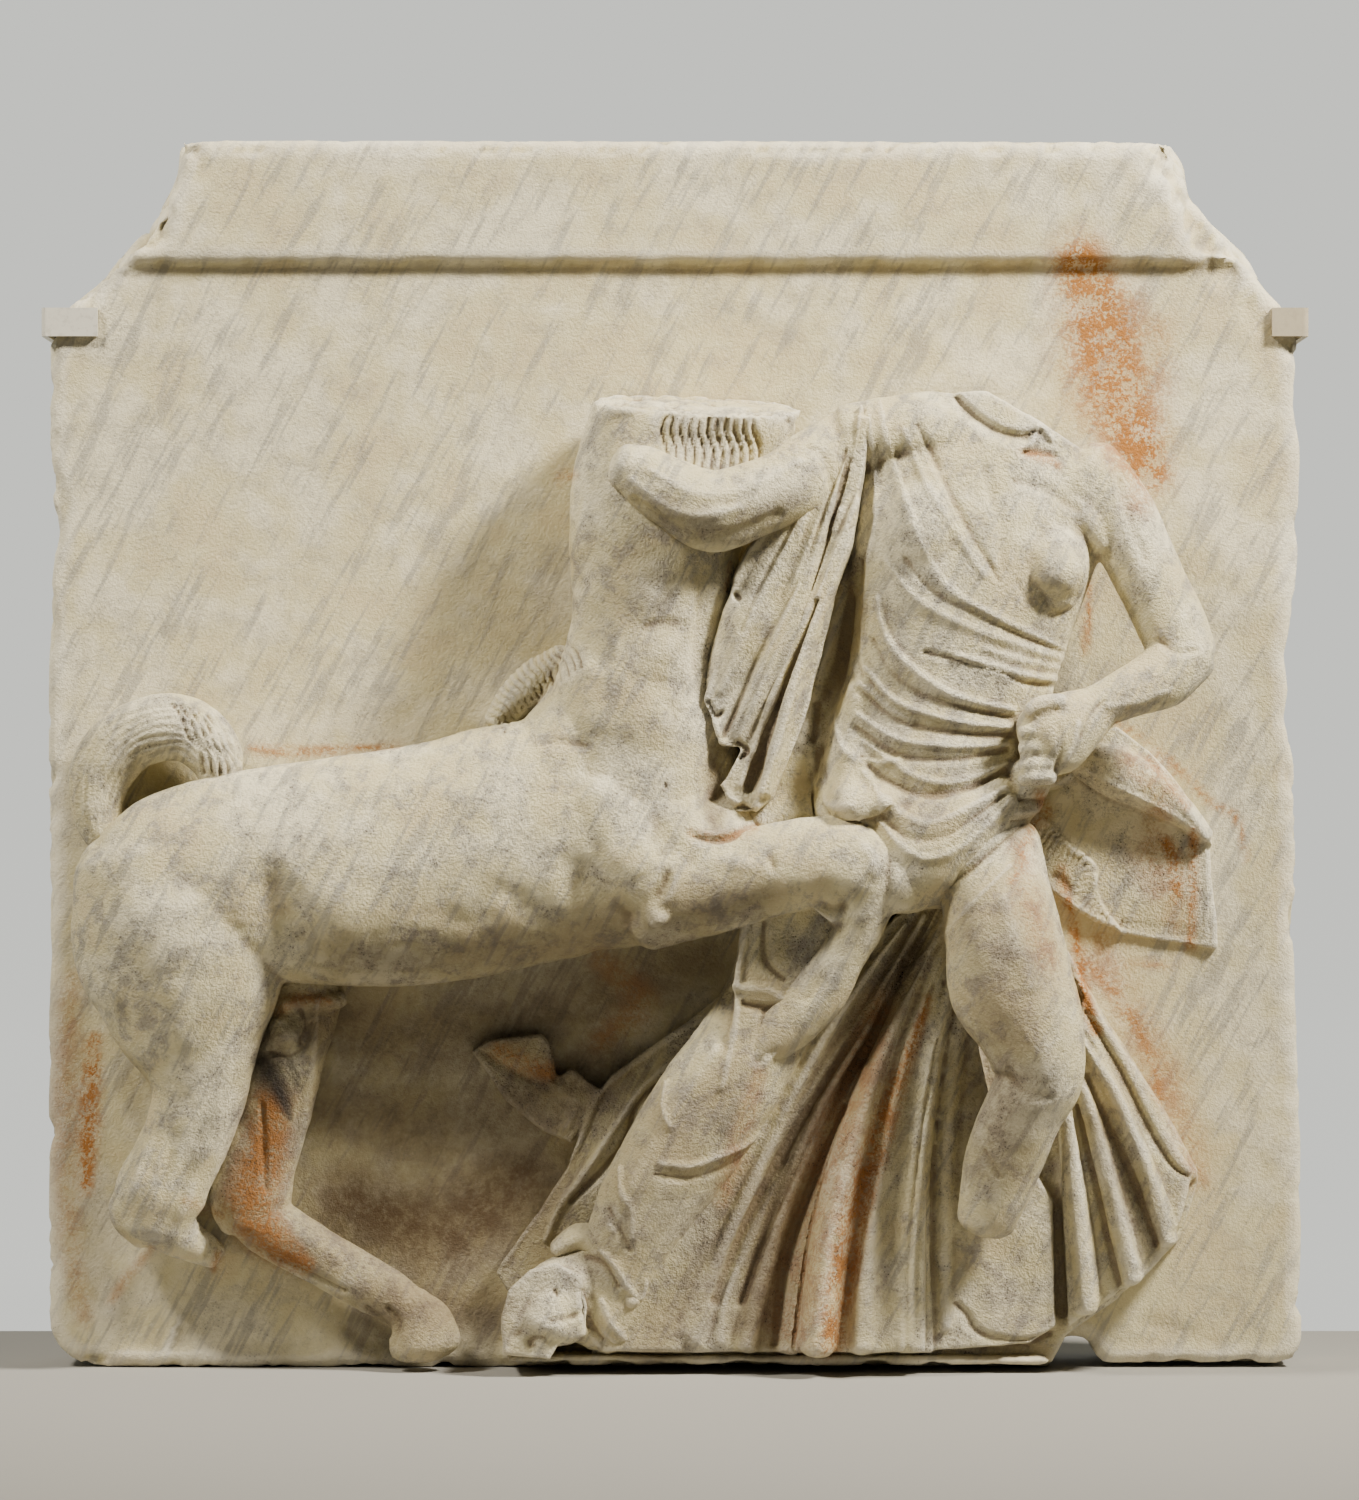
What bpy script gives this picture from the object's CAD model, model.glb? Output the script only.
# %% [markdown]
# # A marble relief panel
#
# A square panel from a frieze: a centaur seizes a fleeing woman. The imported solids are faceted. This lesson
# carves the same forms again at a finer grain, adds folds, hair, muscles, chips and stains, and lights the
# panel like a studio photograph. Everything is in metres, the front faces -Y and +Z is up.

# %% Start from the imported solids
import math

import bmesh
import bpy
import numpy as np
from mathutils import Matrix, Vector


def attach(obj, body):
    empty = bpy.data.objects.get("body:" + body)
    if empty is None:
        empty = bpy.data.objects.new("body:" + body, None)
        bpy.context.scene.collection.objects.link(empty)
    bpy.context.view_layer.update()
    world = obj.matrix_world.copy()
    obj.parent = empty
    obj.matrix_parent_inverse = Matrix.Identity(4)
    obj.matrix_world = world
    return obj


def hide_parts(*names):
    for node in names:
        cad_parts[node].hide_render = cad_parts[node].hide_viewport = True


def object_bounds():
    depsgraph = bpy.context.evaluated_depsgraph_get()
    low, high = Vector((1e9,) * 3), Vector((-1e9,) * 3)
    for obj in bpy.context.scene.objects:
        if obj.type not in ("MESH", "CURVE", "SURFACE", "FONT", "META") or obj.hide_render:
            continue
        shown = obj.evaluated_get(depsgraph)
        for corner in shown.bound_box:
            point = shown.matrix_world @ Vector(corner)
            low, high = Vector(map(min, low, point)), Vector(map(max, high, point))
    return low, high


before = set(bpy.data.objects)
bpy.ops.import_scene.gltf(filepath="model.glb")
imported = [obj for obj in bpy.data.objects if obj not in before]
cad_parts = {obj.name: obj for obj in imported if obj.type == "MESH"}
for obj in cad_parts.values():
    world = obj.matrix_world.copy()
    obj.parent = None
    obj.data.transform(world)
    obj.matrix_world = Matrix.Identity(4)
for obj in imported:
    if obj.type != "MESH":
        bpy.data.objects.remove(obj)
cad_low, cad_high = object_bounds()
print("solids from", [round(value, 3) for value in cad_low], "to", [round(value, 3) for value in cad_high])


# %% [markdown]
# ## Sizes
#
# The relief is drawn on a grid of columns and rows, with row 0 at the top, and depths out of the slab's
# face are counted in millimetres. The grid is drawn as seen by an eye in front of the slab, so a form that
# stands proud is drawn in towards the middle by its share of the eye's distance. A grid was chosen over
# metres because a carver also squares up a drawing and transfers it to the block.

# %% Sizes of the panel and of its grid
PANEL_WIDTH = 1.41
PANEL_HEIGHT = 1.38
SLAB_DEPTH = 0.14
BAND_PROUD = 0.013
GROUND_STRIP_PROUD = 0.07
ROOT_DEPTH = 0.02

GRID_COLUMNS = 1254
GRID_ROWS = 1227
CENTRE_COLUMN = 675
BASE_ROW = 1367
EYE_COLUMN = 679.5
EYE_ROW = 750
EYE_DISTANCE = 7.0
PICTURE_ROWS = 1500

COLUMN = PANEL_WIDTH / GRID_COLUMNS
ROW = PANEL_HEIGHT / GRID_ROWS
MM = 0.001
FACE_Y = -SLAB_DEPTH / 2
BACK_Y = SLAB_DEPTH / 2
print("one column is", round(COLUMN / MM, 2), "mm wide and one row", round(ROW / MM, 2), "mm high")


# %% [markdown]
# ## The drawing
#
# `place` finds the point in space for a drawn spot and its depth. `drawn` goes the other way for many
# points at once, so that strokes drawn on the grid can find the marble under them. `smooth_line` runs a
# smooth curve through a few drawn stations, so that an arm or a fold needs only a handful of them.

# %% From the grid to the block and back
def place(column, row, depth):
    out = depth * MM
    nearer = 1 - out / EYE_DISTANCE
    x = (column - CENTRE_COLUMN) * COLUMN * nearer
    z = (BASE_ROW - EYE_ROW) * ROW + (EYE_ROW - row) * ROW * nearer
    return Vector((x, FACE_Y - out, z))


def drawn(points):
    nearer = 1 - (FACE_Y - points[:, 1]) / EYE_DISTANCE
    columns = CENTRE_COLUMN + points[:, 0] / (COLUMN * nearer)
    rows = EYE_ROW - (points[:, 2] - (BASE_ROW - EYE_ROW) * ROW) / (ROW * nearer)
    return np.stack((columns, rows), axis=1)


def between(stations, span, share):
    """A station on the smooth curve that passes through all the stations."""
    last = len(stations) - 1
    a, b, c, d = (np.array(stations[min(max(span + k, 0), last)], float) for k in (-1, 0, 1, 2))
    t = share
    return 0.5 * (2 * b + (c - a) * t + (2 * a - 5 * b + 4 * c - d) * t**2 + (3 * b - a - 3 * c + d) * t**3)


def smooth_line(stations, steps):
    spans = range(len(stations) - 1)
    fine = [between(stations, span, k / steps) for span in spans for k in range(steps)]
    return fine + [np.array(stations[-1], float)]


foot = place(CENTRE_COLUMN, BASE_ROW, 0)
print("the middle of the slab's foot is at", [round(value, 3) for value in foot])


# %% [markdown]
# ## Forms, sheets and breaks
#
# A limb is a row of stations (column, row, half width, depth of its centre, half depth). `add_form` lofts
# it through oval rings, which the bridge_loops operator joins, and many forms that overlap make one figure.
# Limbs could also be pulled out of a cube by extruding, but stations are easier to compare with a drawing.
# Flat cloth is a sheet: an outline at one depth. A form that is broken off, such as a neck, is cut by a
# sloping plane.

# %% A form lofted through rings
RING_SIDES = 40
RINGS_PER_SPAN = 6
DOME_ANGLES = (18, 36, 54, 72, 84)
DOME_REACH = 0.6


def ring_frame(station, heading):
    column, row, half_width, depth, half_depth = station
    nearer = 1 - depth * MM / EYE_DISTANCE
    across = Vector((-heading[1] * COLUMN, 0, -heading[0] * ROW)) * half_width * nearer
    out = Vector((0, -half_depth * MM, 0))
    along = across.cross(out).normalized()
    turn = Matrix((across, out, along)).transposed().to_4x4()
    return Matrix.Translation(place(column, row, depth)) @ turn


def dome(station, heading, sign):
    column, row, half_width, depth, half_depth = station
    reach = min(half_width, half_depth) * DOME_REACH * sign
    ends = []
    for angle in DOME_ANGLES:
        out = math.sin(math.radians(angle)) * reach
        shrink = math.cos(math.radians(angle))
        spot = (column + heading[0] * out, row + heading[1] * out)
        ends.append((*spot, half_width * shrink, depth, half_depth * shrink))
    return ends


def line_headings(line):
    spots = np.array([station[:2] for station in line])
    steps = np.gradient(spots, axis=0)
    return steps / np.linalg.norm(steps, axis=1)[:, None]


def add_form(bm, stations):
    line = smooth_line(stations, RINGS_PER_SPAN)
    headings = list(line_headings(line))
    start = dome(line[0], headings[0], -1)[::-1]
    end = dome(line[-1], headings[-1], 1)
    headings = [headings[0]] * len(start) + headings + [headings[-1]] * len(end)
    rings = []
    for station, heading in zip(start + line + end, headings):
        turned = ring_frame(station, heading)
        rings.append(bmesh.ops.create_circle(bm, segments=RING_SIDES, radius=1, matrix=turned)["verts"])
    edges = [{edge for vert in ring for edge in vert.link_edges} for ring in rings]
    for near, far in zip(edges, edges[1:]):
        bmesh.ops.bridge_loops(bm, edges=list(near | far))
    bm.faces.new(rings[0])
    bm.faces.new(rings[-1])


print("each ring has", RING_SIDES, "points, and there are", RINGS_PER_SPAN, "rings to a span")

# %% Sheets and broken forms
FALL_DEPTH = 0.22


def add_prism(bm, back, front):
    loops = [[bm.verts.new(point) for point in outline] for outline in (back, front)]
    for k in range(len(back)):
        after = (k + 1) % len(back)
        bm.faces.new((loops[0][k], loops[0][after], loops[1][after], loops[1][k]))
    bm.faces.new(loops[0])
    bm.faces.new(loops[1])


def add_sheet(bm, outline, depth):
    root = [place(*spot, -ROOT_DEPTH / MM) for spot in outline]
    add_prism(bm, root, [place(*spot, depth) for spot in outline])


def cut_above(bm, first, second, fall):
    """Breaks off what is above two drawn spots. The break falls by some rows over the relief's depth."""
    start = place(*first, 0)
    along = place(*second, 0) - start
    forwards = Vector((0, -FALL_DEPTH, -fall * ROW))
    upwards = forwards.cross(along)
    if upwards.z < 0:
        upwards.negate()
    everything = bm.verts[:] + bm.edges[:] + bm.faces[:]
    cut = bmesh.ops.bisect_plane(bm, geom=everything, plane_co=start, plane_no=upwards, clear_outer=True)
    rim = [item for item in cut["geom_cut"] if isinstance(item, bmesh.types.BMEdge)]
    bmesh.ops.edgeloop_fill(bm, edges=rim)


def add_broken_form(bm, stations, breaks):
    whole = bmesh.new()
    add_form(whole, stations)
    for first, second, fall in breaks:
        cut_above(whole, first, second, fall)
    mesh = bpy.data.meshes.new("broken form")
    whole.to_mesh(mesh)
    whole.free()
    bm.from_mesh(mesh)
    bpy.data.meshes.remove(mesh)


def at_depth(spots, y):
    return [Vector((point.x, y, max(point.z, 0))) for point in (place(*spot, 0) for spot in spots)]


print("a break falls over a depth of", round(FALL_DEPTH / MM), "mm")


# %% [markdown]
# ## One skin
#
# The panel was cut from one block, so its forms need to run into each other. A Boolean union could do that,
# but it leaves sharp seams. A voxel remesh fuses the overlapping forms into one skin of even faces instead,
# and a little smoothing rounds its edges as wear does. The part of it that lies buried in the slab is cut
# away.

# %% Fuse forms into one skin
SLAB = "slab_and_band"
EDGE_WEAR = 0.5
BURIED_Y = FACE_Y + 0.004


def close_back(bm):
    """Draws the open rim of the slab straight back to its plane back."""
    rim = [edge for edge in bm.edges if edge.is_boundary]
    grown = bmesh.ops.extrude_edge_only(bm, edges=rim)["geom"]
    back = [item for item in grown if isinstance(item, bmesh.types.BMVert)]
    for vert in back:
        vert.co.y = BACK_Y
    outline = [item for item in grown if isinstance(item, bmesh.types.BMEdge)]
    for face in bmesh.ops.edgeloop_fill(bm, edges=outline)["faces"]:
        face.smooth = False


def one_skin(name, bm, cell, smoothing, buried_y):
    bmesh.ops.recalc_face_normals(bm, faces=bm.faces)
    mesh = bpy.data.meshes.new(name)
    bm.to_mesh(mesh)
    bm.free()
    piece = bpy.data.objects.new(name, mesh)
    bpy.context.scene.collection.objects.link(piece)
    skin = piece.modifiers.new("one skin", "REMESH")
    skin.mode = "VOXEL"
    skin.voxel_size = cell
    skin.use_smooth_shade = True
    wear = piece.modifiers.new("worn edges", "SMOOTH")
    wear.factor = EDGE_WEAR
    wear.iterations = smoothing
    fused = bpy.data.meshes.new_from_object(piece.evaluated_get(bpy.context.evaluated_depsgraph_get()))
    piece.modifiers.clear()
    piece.data = fused
    cut = bmesh.new()
    cut.from_mesh(fused)
    everything = cut.verts[:] + cut.edges[:] + cut.faces[:]
    spot = (0, buried_y, 0)
    bmesh.ops.bisect_plane(cut, geom=everything, plane_co=spot, plane_no=(0, 1, 0), clear_outer=True)
    if name == SLAB:
        close_back(cut)
    cut.to_mesh(fused)
    cut.free()
    print(name, len(fused.polygons), "faces")
    return piece


def figure_piece(name, cell, smoothing, forms, sheets=(), broken=()):
    """Fuses forms, sheets and broken forms into one skin of a cell size, with so many rounds of smoothing."""
    bm = bmesh.new()
    for stations in forms:
        add_form(bm, stations)
    for outline, depth in sheets:
        add_sheet(bm, outline, depth)
    for stations, breaks in broken:
        add_broken_form(bm, stations, breaks)
    return one_skin(name, bm, cell, smoothing, BURIED_Y)


# %% [markdown]
# ## Strokes of the chisel
#
# A stroke is a line drawn on the grid. `reach` gives every point its nearness to the line, from 1 on the
# line to 0 at its half width. A leaning stroke falls away steeply on one side and gently on the other, like
# the edge of a fold. Strokes could be sculpted by hand, but as numbers they stay easy to move and to
# repeat.

# %% The points of a skin
LOWEST = np.array((-PANEL_WIDTH / 2, cad_low[1], 0.0))
HIGHEST = np.array((PANEL_WIDTH / 2, BACK_Y, cad_high[2]))


def points_of(mesh):
    flat = np.empty(len(mesh.vertices) * 3)
    mesh.vertices.foreach_get("co", flat)
    return flat.reshape(-1, 3)


def normals_of(mesh):
    flat = np.empty(len(mesh.vertices) * 3)
    mesh.vertex_normals.foreach_get("vector", flat)
    return flat.reshape(-1, 3)


def set_points(mesh, points):
    """Moves the vertices, but never out of the block that the panel was cut from."""
    mesh.vertices.foreach_set("co", np.clip(points, LOWEST, HIGHEST).ravel())
    mesh.update()


print("points stay between", LOWEST.round(3), "and", HIGHEST.round(3))

# %% Nearness to a stroke
STROKE_STEPS = 5
TINY = 1e-9
THINNEST = 0.5


def reach(spots, line, lean=0.0, fade=0.0):
    """Nearness from 0 to 1 of each drawn spot to a line of (column, row, half width).

    Over the share fade of its length, the line dies away at both of its ends.
    """
    fine = np.array(smooth_line(line, STROKE_STEPS))
    near = np.zeros(len(spots))
    widest = fine[:, 2].max() * (1 + abs(lean))
    low = fine[:, :2].min(axis=0) - widest
    high = fine[:, :2].max(axis=0) + widest
    inside = np.flatnonzero(np.all((spots > low) & (spots < high), axis=1))
    if not len(inside):
        return near
    here = spots[inside][:, None, :]
    start, end = fine[:-1], fine[1:]
    step = (end - start)[:, :2]
    share = ((here - start[:, :2]) * step).sum(axis=2) / np.maximum((step**2).sum(axis=1), TINY)
    share = np.clip(share, 0, 1)
    offset = here - (start[:, :2] + share[..., None] * step)
    distance = np.linalg.norm(offset, axis=2)
    best = distance.argmin(axis=1)
    rows = np.arange(len(inside))
    side = np.sign(step[best, 0] * offset[rows, best, 1] - step[best, 1] * offset[rows, best, 0])
    width = start[best, 2] + share[rows, best] * (end - start)[best, 2]
    width = np.maximum(width * (1 + lean * side), THINNEST)
    ratio = np.clip(distance[rows, best] / width, 0, 1)
    near[inside] = 0.5 + 0.5 * np.cos(math.pi * ratio)
    if fade:
        walked = (best + share[rows, best]) / len(step)
        end = np.clip(np.minimum(walked, 1 - walked) / fade, 0, 1)
        near[inside] *= end * end * (3 - 2 * end)
    return near


on_and_beside = np.array([(10.0, 5.0), (10.0, 8.0)])
print("nearness on a stroke and beside it", reach(on_and_beside, [(0, 5, 6), (20, 5, 6)]).round(2))

# %% Carve along strokes
SIDE_SHARE = 0.25


def carve(piece, strokes, fade=0.0):
    """Raises or sinks the marble along strokes of (height in mm, lean, line)."""
    mesh = piece.data
    points = points_of(mesh)
    normals = normals_of(mesh)
    spots = drawn(points)
    height = np.zeros(len(points))
    for rise, lean, line in strokes:
        height += rise * MM * reach(spots, line, lean, fade)
    facing = np.clip(SIDE_SHARE - normals[:, 1], 0, 1)
    set_points(mesh, points + normals * (height * facing)[:, None])
    print(piece.name, len(strokes), "strokes")


# %% [markdown]
# ## Strokes that repeat
#
# Locks of hair, threads of a fringe and strands of a tail are strokes that repeat along a line, so loops
# make them. Each tick is bent like an S, because a straight comb of lines would look like a machine's work.

# %% Ticks and strands
TICK = [(-1, 0, 0.7), (-0.45, -1, 1), (0.25, 0.8, 1), (1, 0.3, 0.6)]
TICK_BEND = 0.13
STRAND_STEPS = 3
SWAY_STEP = 0.9
SWAY_SHIFT = 1.3


def spots_along(line, count):
    """Evenly spaced places on a drawn line, each with the line's heading there."""
    fine = np.array(smooth_line(line, STROKE_STEPS))[:, :2]
    steps = np.linalg.norm(np.diff(fine, axis=0), axis=1)
    walked = np.concatenate(([0], np.cumsum(steps)))
    headings = line_headings(fine)
    places = []
    for share in (np.arange(count) + 0.5) / count:
        there = share * walked[-1]
        spot = [np.interp(there, walked, fine[:, axis]) for axis in (0, 1)]
        heading = np.array([np.interp(there, walked, headings[:, axis]) for axis in (0, 1)])
        places.append((np.array(spot), heading / np.linalg.norm(heading)))
    return places


def ticks(line, count, half_length, turn, rise, half_width):
    """Short strokes across a line, turned by an angle from its heading and bent like an S."""
    angle = math.radians(turn)
    spin = np.array(((math.cos(angle), -math.sin(angle)), (math.sin(angle), math.cos(angle))))
    strokes = []
    for spot, heading in spots_along(line, count):
        along = spin @ heading * half_length
        bend = heading * half_length * TICK_BEND
        path = [
            (*(spot + along * reached + bend * sway), half_width * width) for reached, sway, width in TICK]
        strokes.append((rise, 0, path))
    return strokes


def strands(stations, count, rise, half_width, wave):
    """Strokes that run side by side along a form, like hair."""
    line = smooth_line(stations, STRAND_STEPS)
    headings = line_headings(line)
    strokes = []
    for k in range(count):
        side = (2 * k + 1) / count - 1
        path = []
        for step, (station, heading) in enumerate(zip(line, headings)):
            sway = wave * math.sin(step * SWAY_STEP + k * SWAY_SHIFT)
            offset = side * station[2] + sway
            path.append((station[0] - heading[1] * offset, station[1] + heading[0] * offset, half_width))
        strokes.append((rise, 0, path))
    return strokes


print("a tick bends through", len(TICK), "stations")


# %% [markdown]
# ## The slab
#
# The slab is sawn flat behind and dressed flat in front, with a plain band along its top, both upper
# corners broken away and a slot for a lever in its underside. The broken corners slope, so each of their
# points has a place on the slab's back, one on its face and, above the band's foot, one on the band's
# front. The slab could be a cube with bites taken out, but a prism between two outlines gives the slopes at
# once.

# %% Outlines of the slab
LEFT_BREAK = [
    ((48, 322), (48, 322), None), ((58, 299), (66, 310), None), ((84, 281), (98, 284), None),
    ((108, 246), (124, 262), (128, 262)), ((136, 220), (148, 232), (139, 244)),
    ((161, 179), (170, 205), (161, 211)), ((167, 168), (179, 172), (183, 179)),
    ((170, 140), (182, 140), (187, 141)),
]
RIGHT_BREAK = [
    ((1184, 140), (1168, 140), (1150, 146)), ((1192, 152), (1178, 160), (1162, 170)),
    ((1198, 192), (1188, 196), (1176, 196)), ((1236, 226), (1222, 238), (1183, 237)),
    ((1258, 247), (1244, 262), (1232, 262)), ((1274, 278), (1260, 286), None),
    ((1291, 299), (1282, 308), None), ((1301, 340), (1298, 344), None),
]
RIGHT_EDGE = [
    (1293, 404), (1300, 448), (1298, 548), (1292, 615), (1284, 655), (1289, 685), (1285, 718),
    (1296, 764), (1295, 812), (1297, 877), (1293, 931), (1296, 1000), (1300, 1100), (1302, 1250),
    (1301, 1345), (1290, 1362),
]
LEVER_SLOT = [
    (1104, 1362), (1096, 1354), (1090, 1339), (1078, 1336), (1060, 1338), (1056, 1350), (1052, 1367),
]
LEFT_EDGE = [
    (92, 1367), (70, 1357), (52, 1340), (48, 1310), (48, 1010), (51, 960), (48, 900), (48, 610), (52, 570),
    (57, 530), (51, 500), (53, 470), (48, 448),
]
GROUND_STRIP = [(505, 1366), (1052, 1356)]
print("the left break has", len(LEFT_BREAK), "points and the right one", len(RIGHT_BREAK))

# %% Build and dress the slab
SLAB_CELL = 0.0066
SLAB_BURIED_Y = BACK_Y - 0.02


def slab_piece():
    edges = RIGHT_EDGE + LEVER_SLOT + LEFT_EDGE
    breaks = LEFT_BREAK + RIGHT_BREAK
    bm = bmesh.new()
    back = at_depth([spots[0] for spots in breaks] + edges, BACK_Y)
    add_prism(bm, back, at_depth([spots[1] for spots in breaks] + edges, FACE_Y))
    ends = [spots for spots in breaks if spots[2]]
    root = at_depth([spots[1] for spots in ends], FACE_Y + ROOT_DEPTH)
    add_prism(bm, root, at_depth([spots[2] for spots in ends], FACE_Y - BAND_PROUD))
    low, high = (place(*corner, GROUND_STRIP_PROUD / MM) for corner in GROUND_STRIP)
    strip = [(low.x, low.z), (high.x, low.z), (high.x, high.z), (low.x, high.z)]
    root = [Vector((x, FACE_Y + ROOT_DEPTH, z)) for x, z in strip]
    add_prism(bm, root, [Vector((x, low.y, z)) for x, z in strip])
    return one_skin(SLAB, bm, SLAB_CELL, 1, SLAB_BURIED_Y)


SLAB_STROKES = [
    (3.5, 0, [(205, 1340, 30), (245, 1320, 40), (300, 1325, 40), (335, 1345, 26)]),
    (3, 0, [(110, 1310, 22), (130, 1270, 26), (150, 1252, 16)]),
    (4, 0, [(180, 1318, 4), (172, 1336, 6), (164, 1356, 6)]),
    (-3, 0, [(345, 1330, 8), (372, 1350, 12), (384, 1360, 8)]),
    (-5, 0, [(48, 472, 5), (60, 500, 14), (56, 545, 8)]),
    (4, 0, [(120, 1356, 10), (300, 1360, 12), (480, 1358, 10)]),
    (4, 0, [(1110, 1356, 8), (1160, 1354, 10), (1290, 1356, 8)]),
    (-2, 0, [(1140, 1320, 10), (1170, 1328, 14), (1194, 1332, 8)]),
]
slab = slab_piece()
carve(slab, SLAB_STROKES)


# %% [markdown]
# ## The centaur
#
# The centaur's horse body, near legs and human torso are one rounded mass. Its muscles, ribs and veins are
# shallow, so they are strokes on the skin and not forms of their own. The strokes fade at both ends,
# because a muscle has no hard end. The head is lost: the neck ends in a rough break, with the hair's ends
# under it.

# %% Forms of the centaur
BODY_CELL = 0.0036
HORSE = {
    "barrel": [
        (112, 892, 55, 58, 58), (150, 882, 80, 60, 72), (200, 874, 94, 62, 80), (270, 873, 107, 62, 84),
        (340, 872, 115, 62, 84), (400, 868, 119, 62, 82), (460, 858, 121, 62, 82), (520, 844, 122, 64, 84),
        (590, 836, 118, 66, 86), (650, 846, 104, 70, 86), (705, 862, 82, 78, 82), (742, 874, 56, 84, 70),
    ],
    "near haunch": [
        (165, 862, 94, 64, 74), (174, 905, 104, 66, 80), (180, 950, 106, 66, 80), (188, 990, 96, 66, 76),
        (193, 1030, 79, 64, 66), (199, 1070, 57, 62, 54), (198, 1100, 47, 60, 48), (188, 1133, 44, 58, 44),
        (173, 1165, 43, 56, 42), (159, 1195, 45, 54, 42), (152, 1222, 36, 52, 36),
    ],
    "near hock": [(130, 1188, 12, 48, 24), (129, 1213, 20, 46, 28), (146, 1238, 14, 42, 24)],
    "near cannon stump": [(160, 1224, 26, 46, 32), (190, 1241, 21, 34, 26), (216, 1255, 15, 16, 18)],
    "crest": [
        (495, 722, 13, 14, 24), (514, 701, 19, 20, 28), (538, 680, 22, 24, 30), (565, 660, 19, 24, 28),
    ],
    "loin": [
        (640, 690, 74, 62, 74), (604, 740, 74, 60, 76), (560, 790, 76, 60, 78), (500, 830, 80, 60, 78),
    ],
    "shoulder": [(596, 800, 58, 92, 62), (638, 850, 72, 96, 66), (676, 884, 58, 104, 62)],
    "near forearm": [
        (655, 884, 66, 98, 62), (710, 884, 52, 112, 56), (760, 873, 47, 128, 52), (812, 864, 47, 140, 50),
        (852, 864, 48, 148, 48), (874, 868, 40, 148, 44),
    ],
    "near shin": [
        (864, 886, 36, 148, 42), (858, 925, 28, 138, 34), (843, 955, 24, 130, 30), (820, 990, 28, 122, 28),
        (797, 1016, 28, 116, 28), (770, 1040, 24, 110, 26), (746, 1066, 14, 106, 20),
    ],
    "strut stump": [(650, 904, 13, 138, 20), (659, 920, 12, 146, 20)],
    "cloth on the knee": [
        (846, 870, 40, 146, 40), (890, 868, 46, 146, 42), (930, 856, 44, 134, 42), (966, 842, 36, 116, 38),
        (998, 828, 24, 102, 32),
    ],
}
HORSEMAN_TORSO = [
    (645, 800, 104, 66, 82), (640, 742, 98, 68, 82), (640, 684, 84, 70, 80), (648, 632, 77, 70, 76),
    (653, 580, 82, 70, 76), (656, 532, 87, 70, 78), (664, 482, 92, 72, 80), (684, 436, 97, 72, 80),
    (704, 400, 98, 72, 78), (710, 372, 94, 70, 74),
]
HORSEMAN_NECK_BREAK = ((600, 391), (830, 403), 36)
HORSE_SHEETS = {
    "knee flap": (
        [(767, 858), (806, 846), (850, 850), (878, 866), (884, 890), (868, 912), (831, 924), (800, 898)],
        168),
}
horse = figure_piece(
    "centaur", BODY_CELL, 3, HORSE.values(), HORSE_SHEETS.values(),
    broken=[(HORSEMAN_TORSO, [HORSEMAN_NECK_BREAK])])

# %% Muscles, hair and crest of the centaur
HORSE_STROKES = [
    (-13, 0, [(266, 850, 26), (270, 880, 36), (282, 918, 42), (308, 952, 34), (350, 978, 16)]),
    (5, 0, [(318, 872, 26), (340, 915, 44), (372, 940, 26)]),
    (6, 0, [(160, 880, 50), (170, 930, 70), (180, 980, 50)]),
    (-2.5, 0, [(430, 905, 16), (468, 920, 20), (500, 892, 18), (536, 915, 20), (566, 926, 12)]),
    (2.5, 0, [(330, 800, 24), (430, 795, 34), (520, 800, 24)]),
    (-8, 0, [(560, 842, 16), (576, 872, 30), (600, 900, 34), (628, 920, 24), (652, 934, 10)]),
    (4, 0, [(600, 846, 26), (625, 860, 36), (642, 880, 22)]),
    (-5, 0, [(650, 800, 14), (660, 840, 20), (672, 866, 12)]),
    (-5, 0, [(670, 864, 6), (663, 886, 12), (652, 904, 9)]),
    (-9, 0, [(724, 720, 12), (718, 775, 20), (712, 812, 22), (716, 834, 12)]),
    (-6, 0, [(682, 830, 4), (704, 839, 6), (728, 838, 6), (750, 824, 4)]),
    (3, 0, [(690, 858, 10), (735, 862, 16), (765, 868, 10)]),
    (-3, 0, [(766, 850, 5), (772, 862, 7), (776, 876, 5)]),
    (-3, 0, [(892, 838, 5), (890, 870, 8), (884, 905, 6)]),
    (3, 0, [(856, 838, 8), (872, 856, 12), (874, 880, 10)]),
    (-2.5, 0, [(812, 880, 10), (836, 892, 12), (850, 918, 8)]),
    (3, 0, [(830, 930, 5), (812, 958, 7), (790, 976, 6)]),
    (-3, 0, [(826, 965, 8), (812, 990, 10), (800, 1006, 8)]),
    (3, 0, [(156, 1130, 8), (140, 1172, 10), (128, 1208, 9)]),
    (-3, 0, [(176, 1125, 9), (168, 1165, 11), (160, 1200, 8)]),
    (3, 0, [(196, 1172, 9), (188, 1200, 10), (174, 1222, 8)]),
    (4, 0, [(236, 1134, 3), (222, 1162, 4), (212, 1190, 4), (218, 1214, 4), (232, 1224, 3)]),
    (-3, 0, [(118, 990, 8), (128, 1030, 12), (150, 1068, 8)]),
    (2, 0, [(170, 960, 18), (178, 1010, 22), (186, 1055, 16)]),
    (-3, 0, [(664, 780, 3), (668, 790, 3)]),
    (-2, 0, [(528, 748, 5), (560, 742, 8), (600, 748, 5)]),
]
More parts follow.
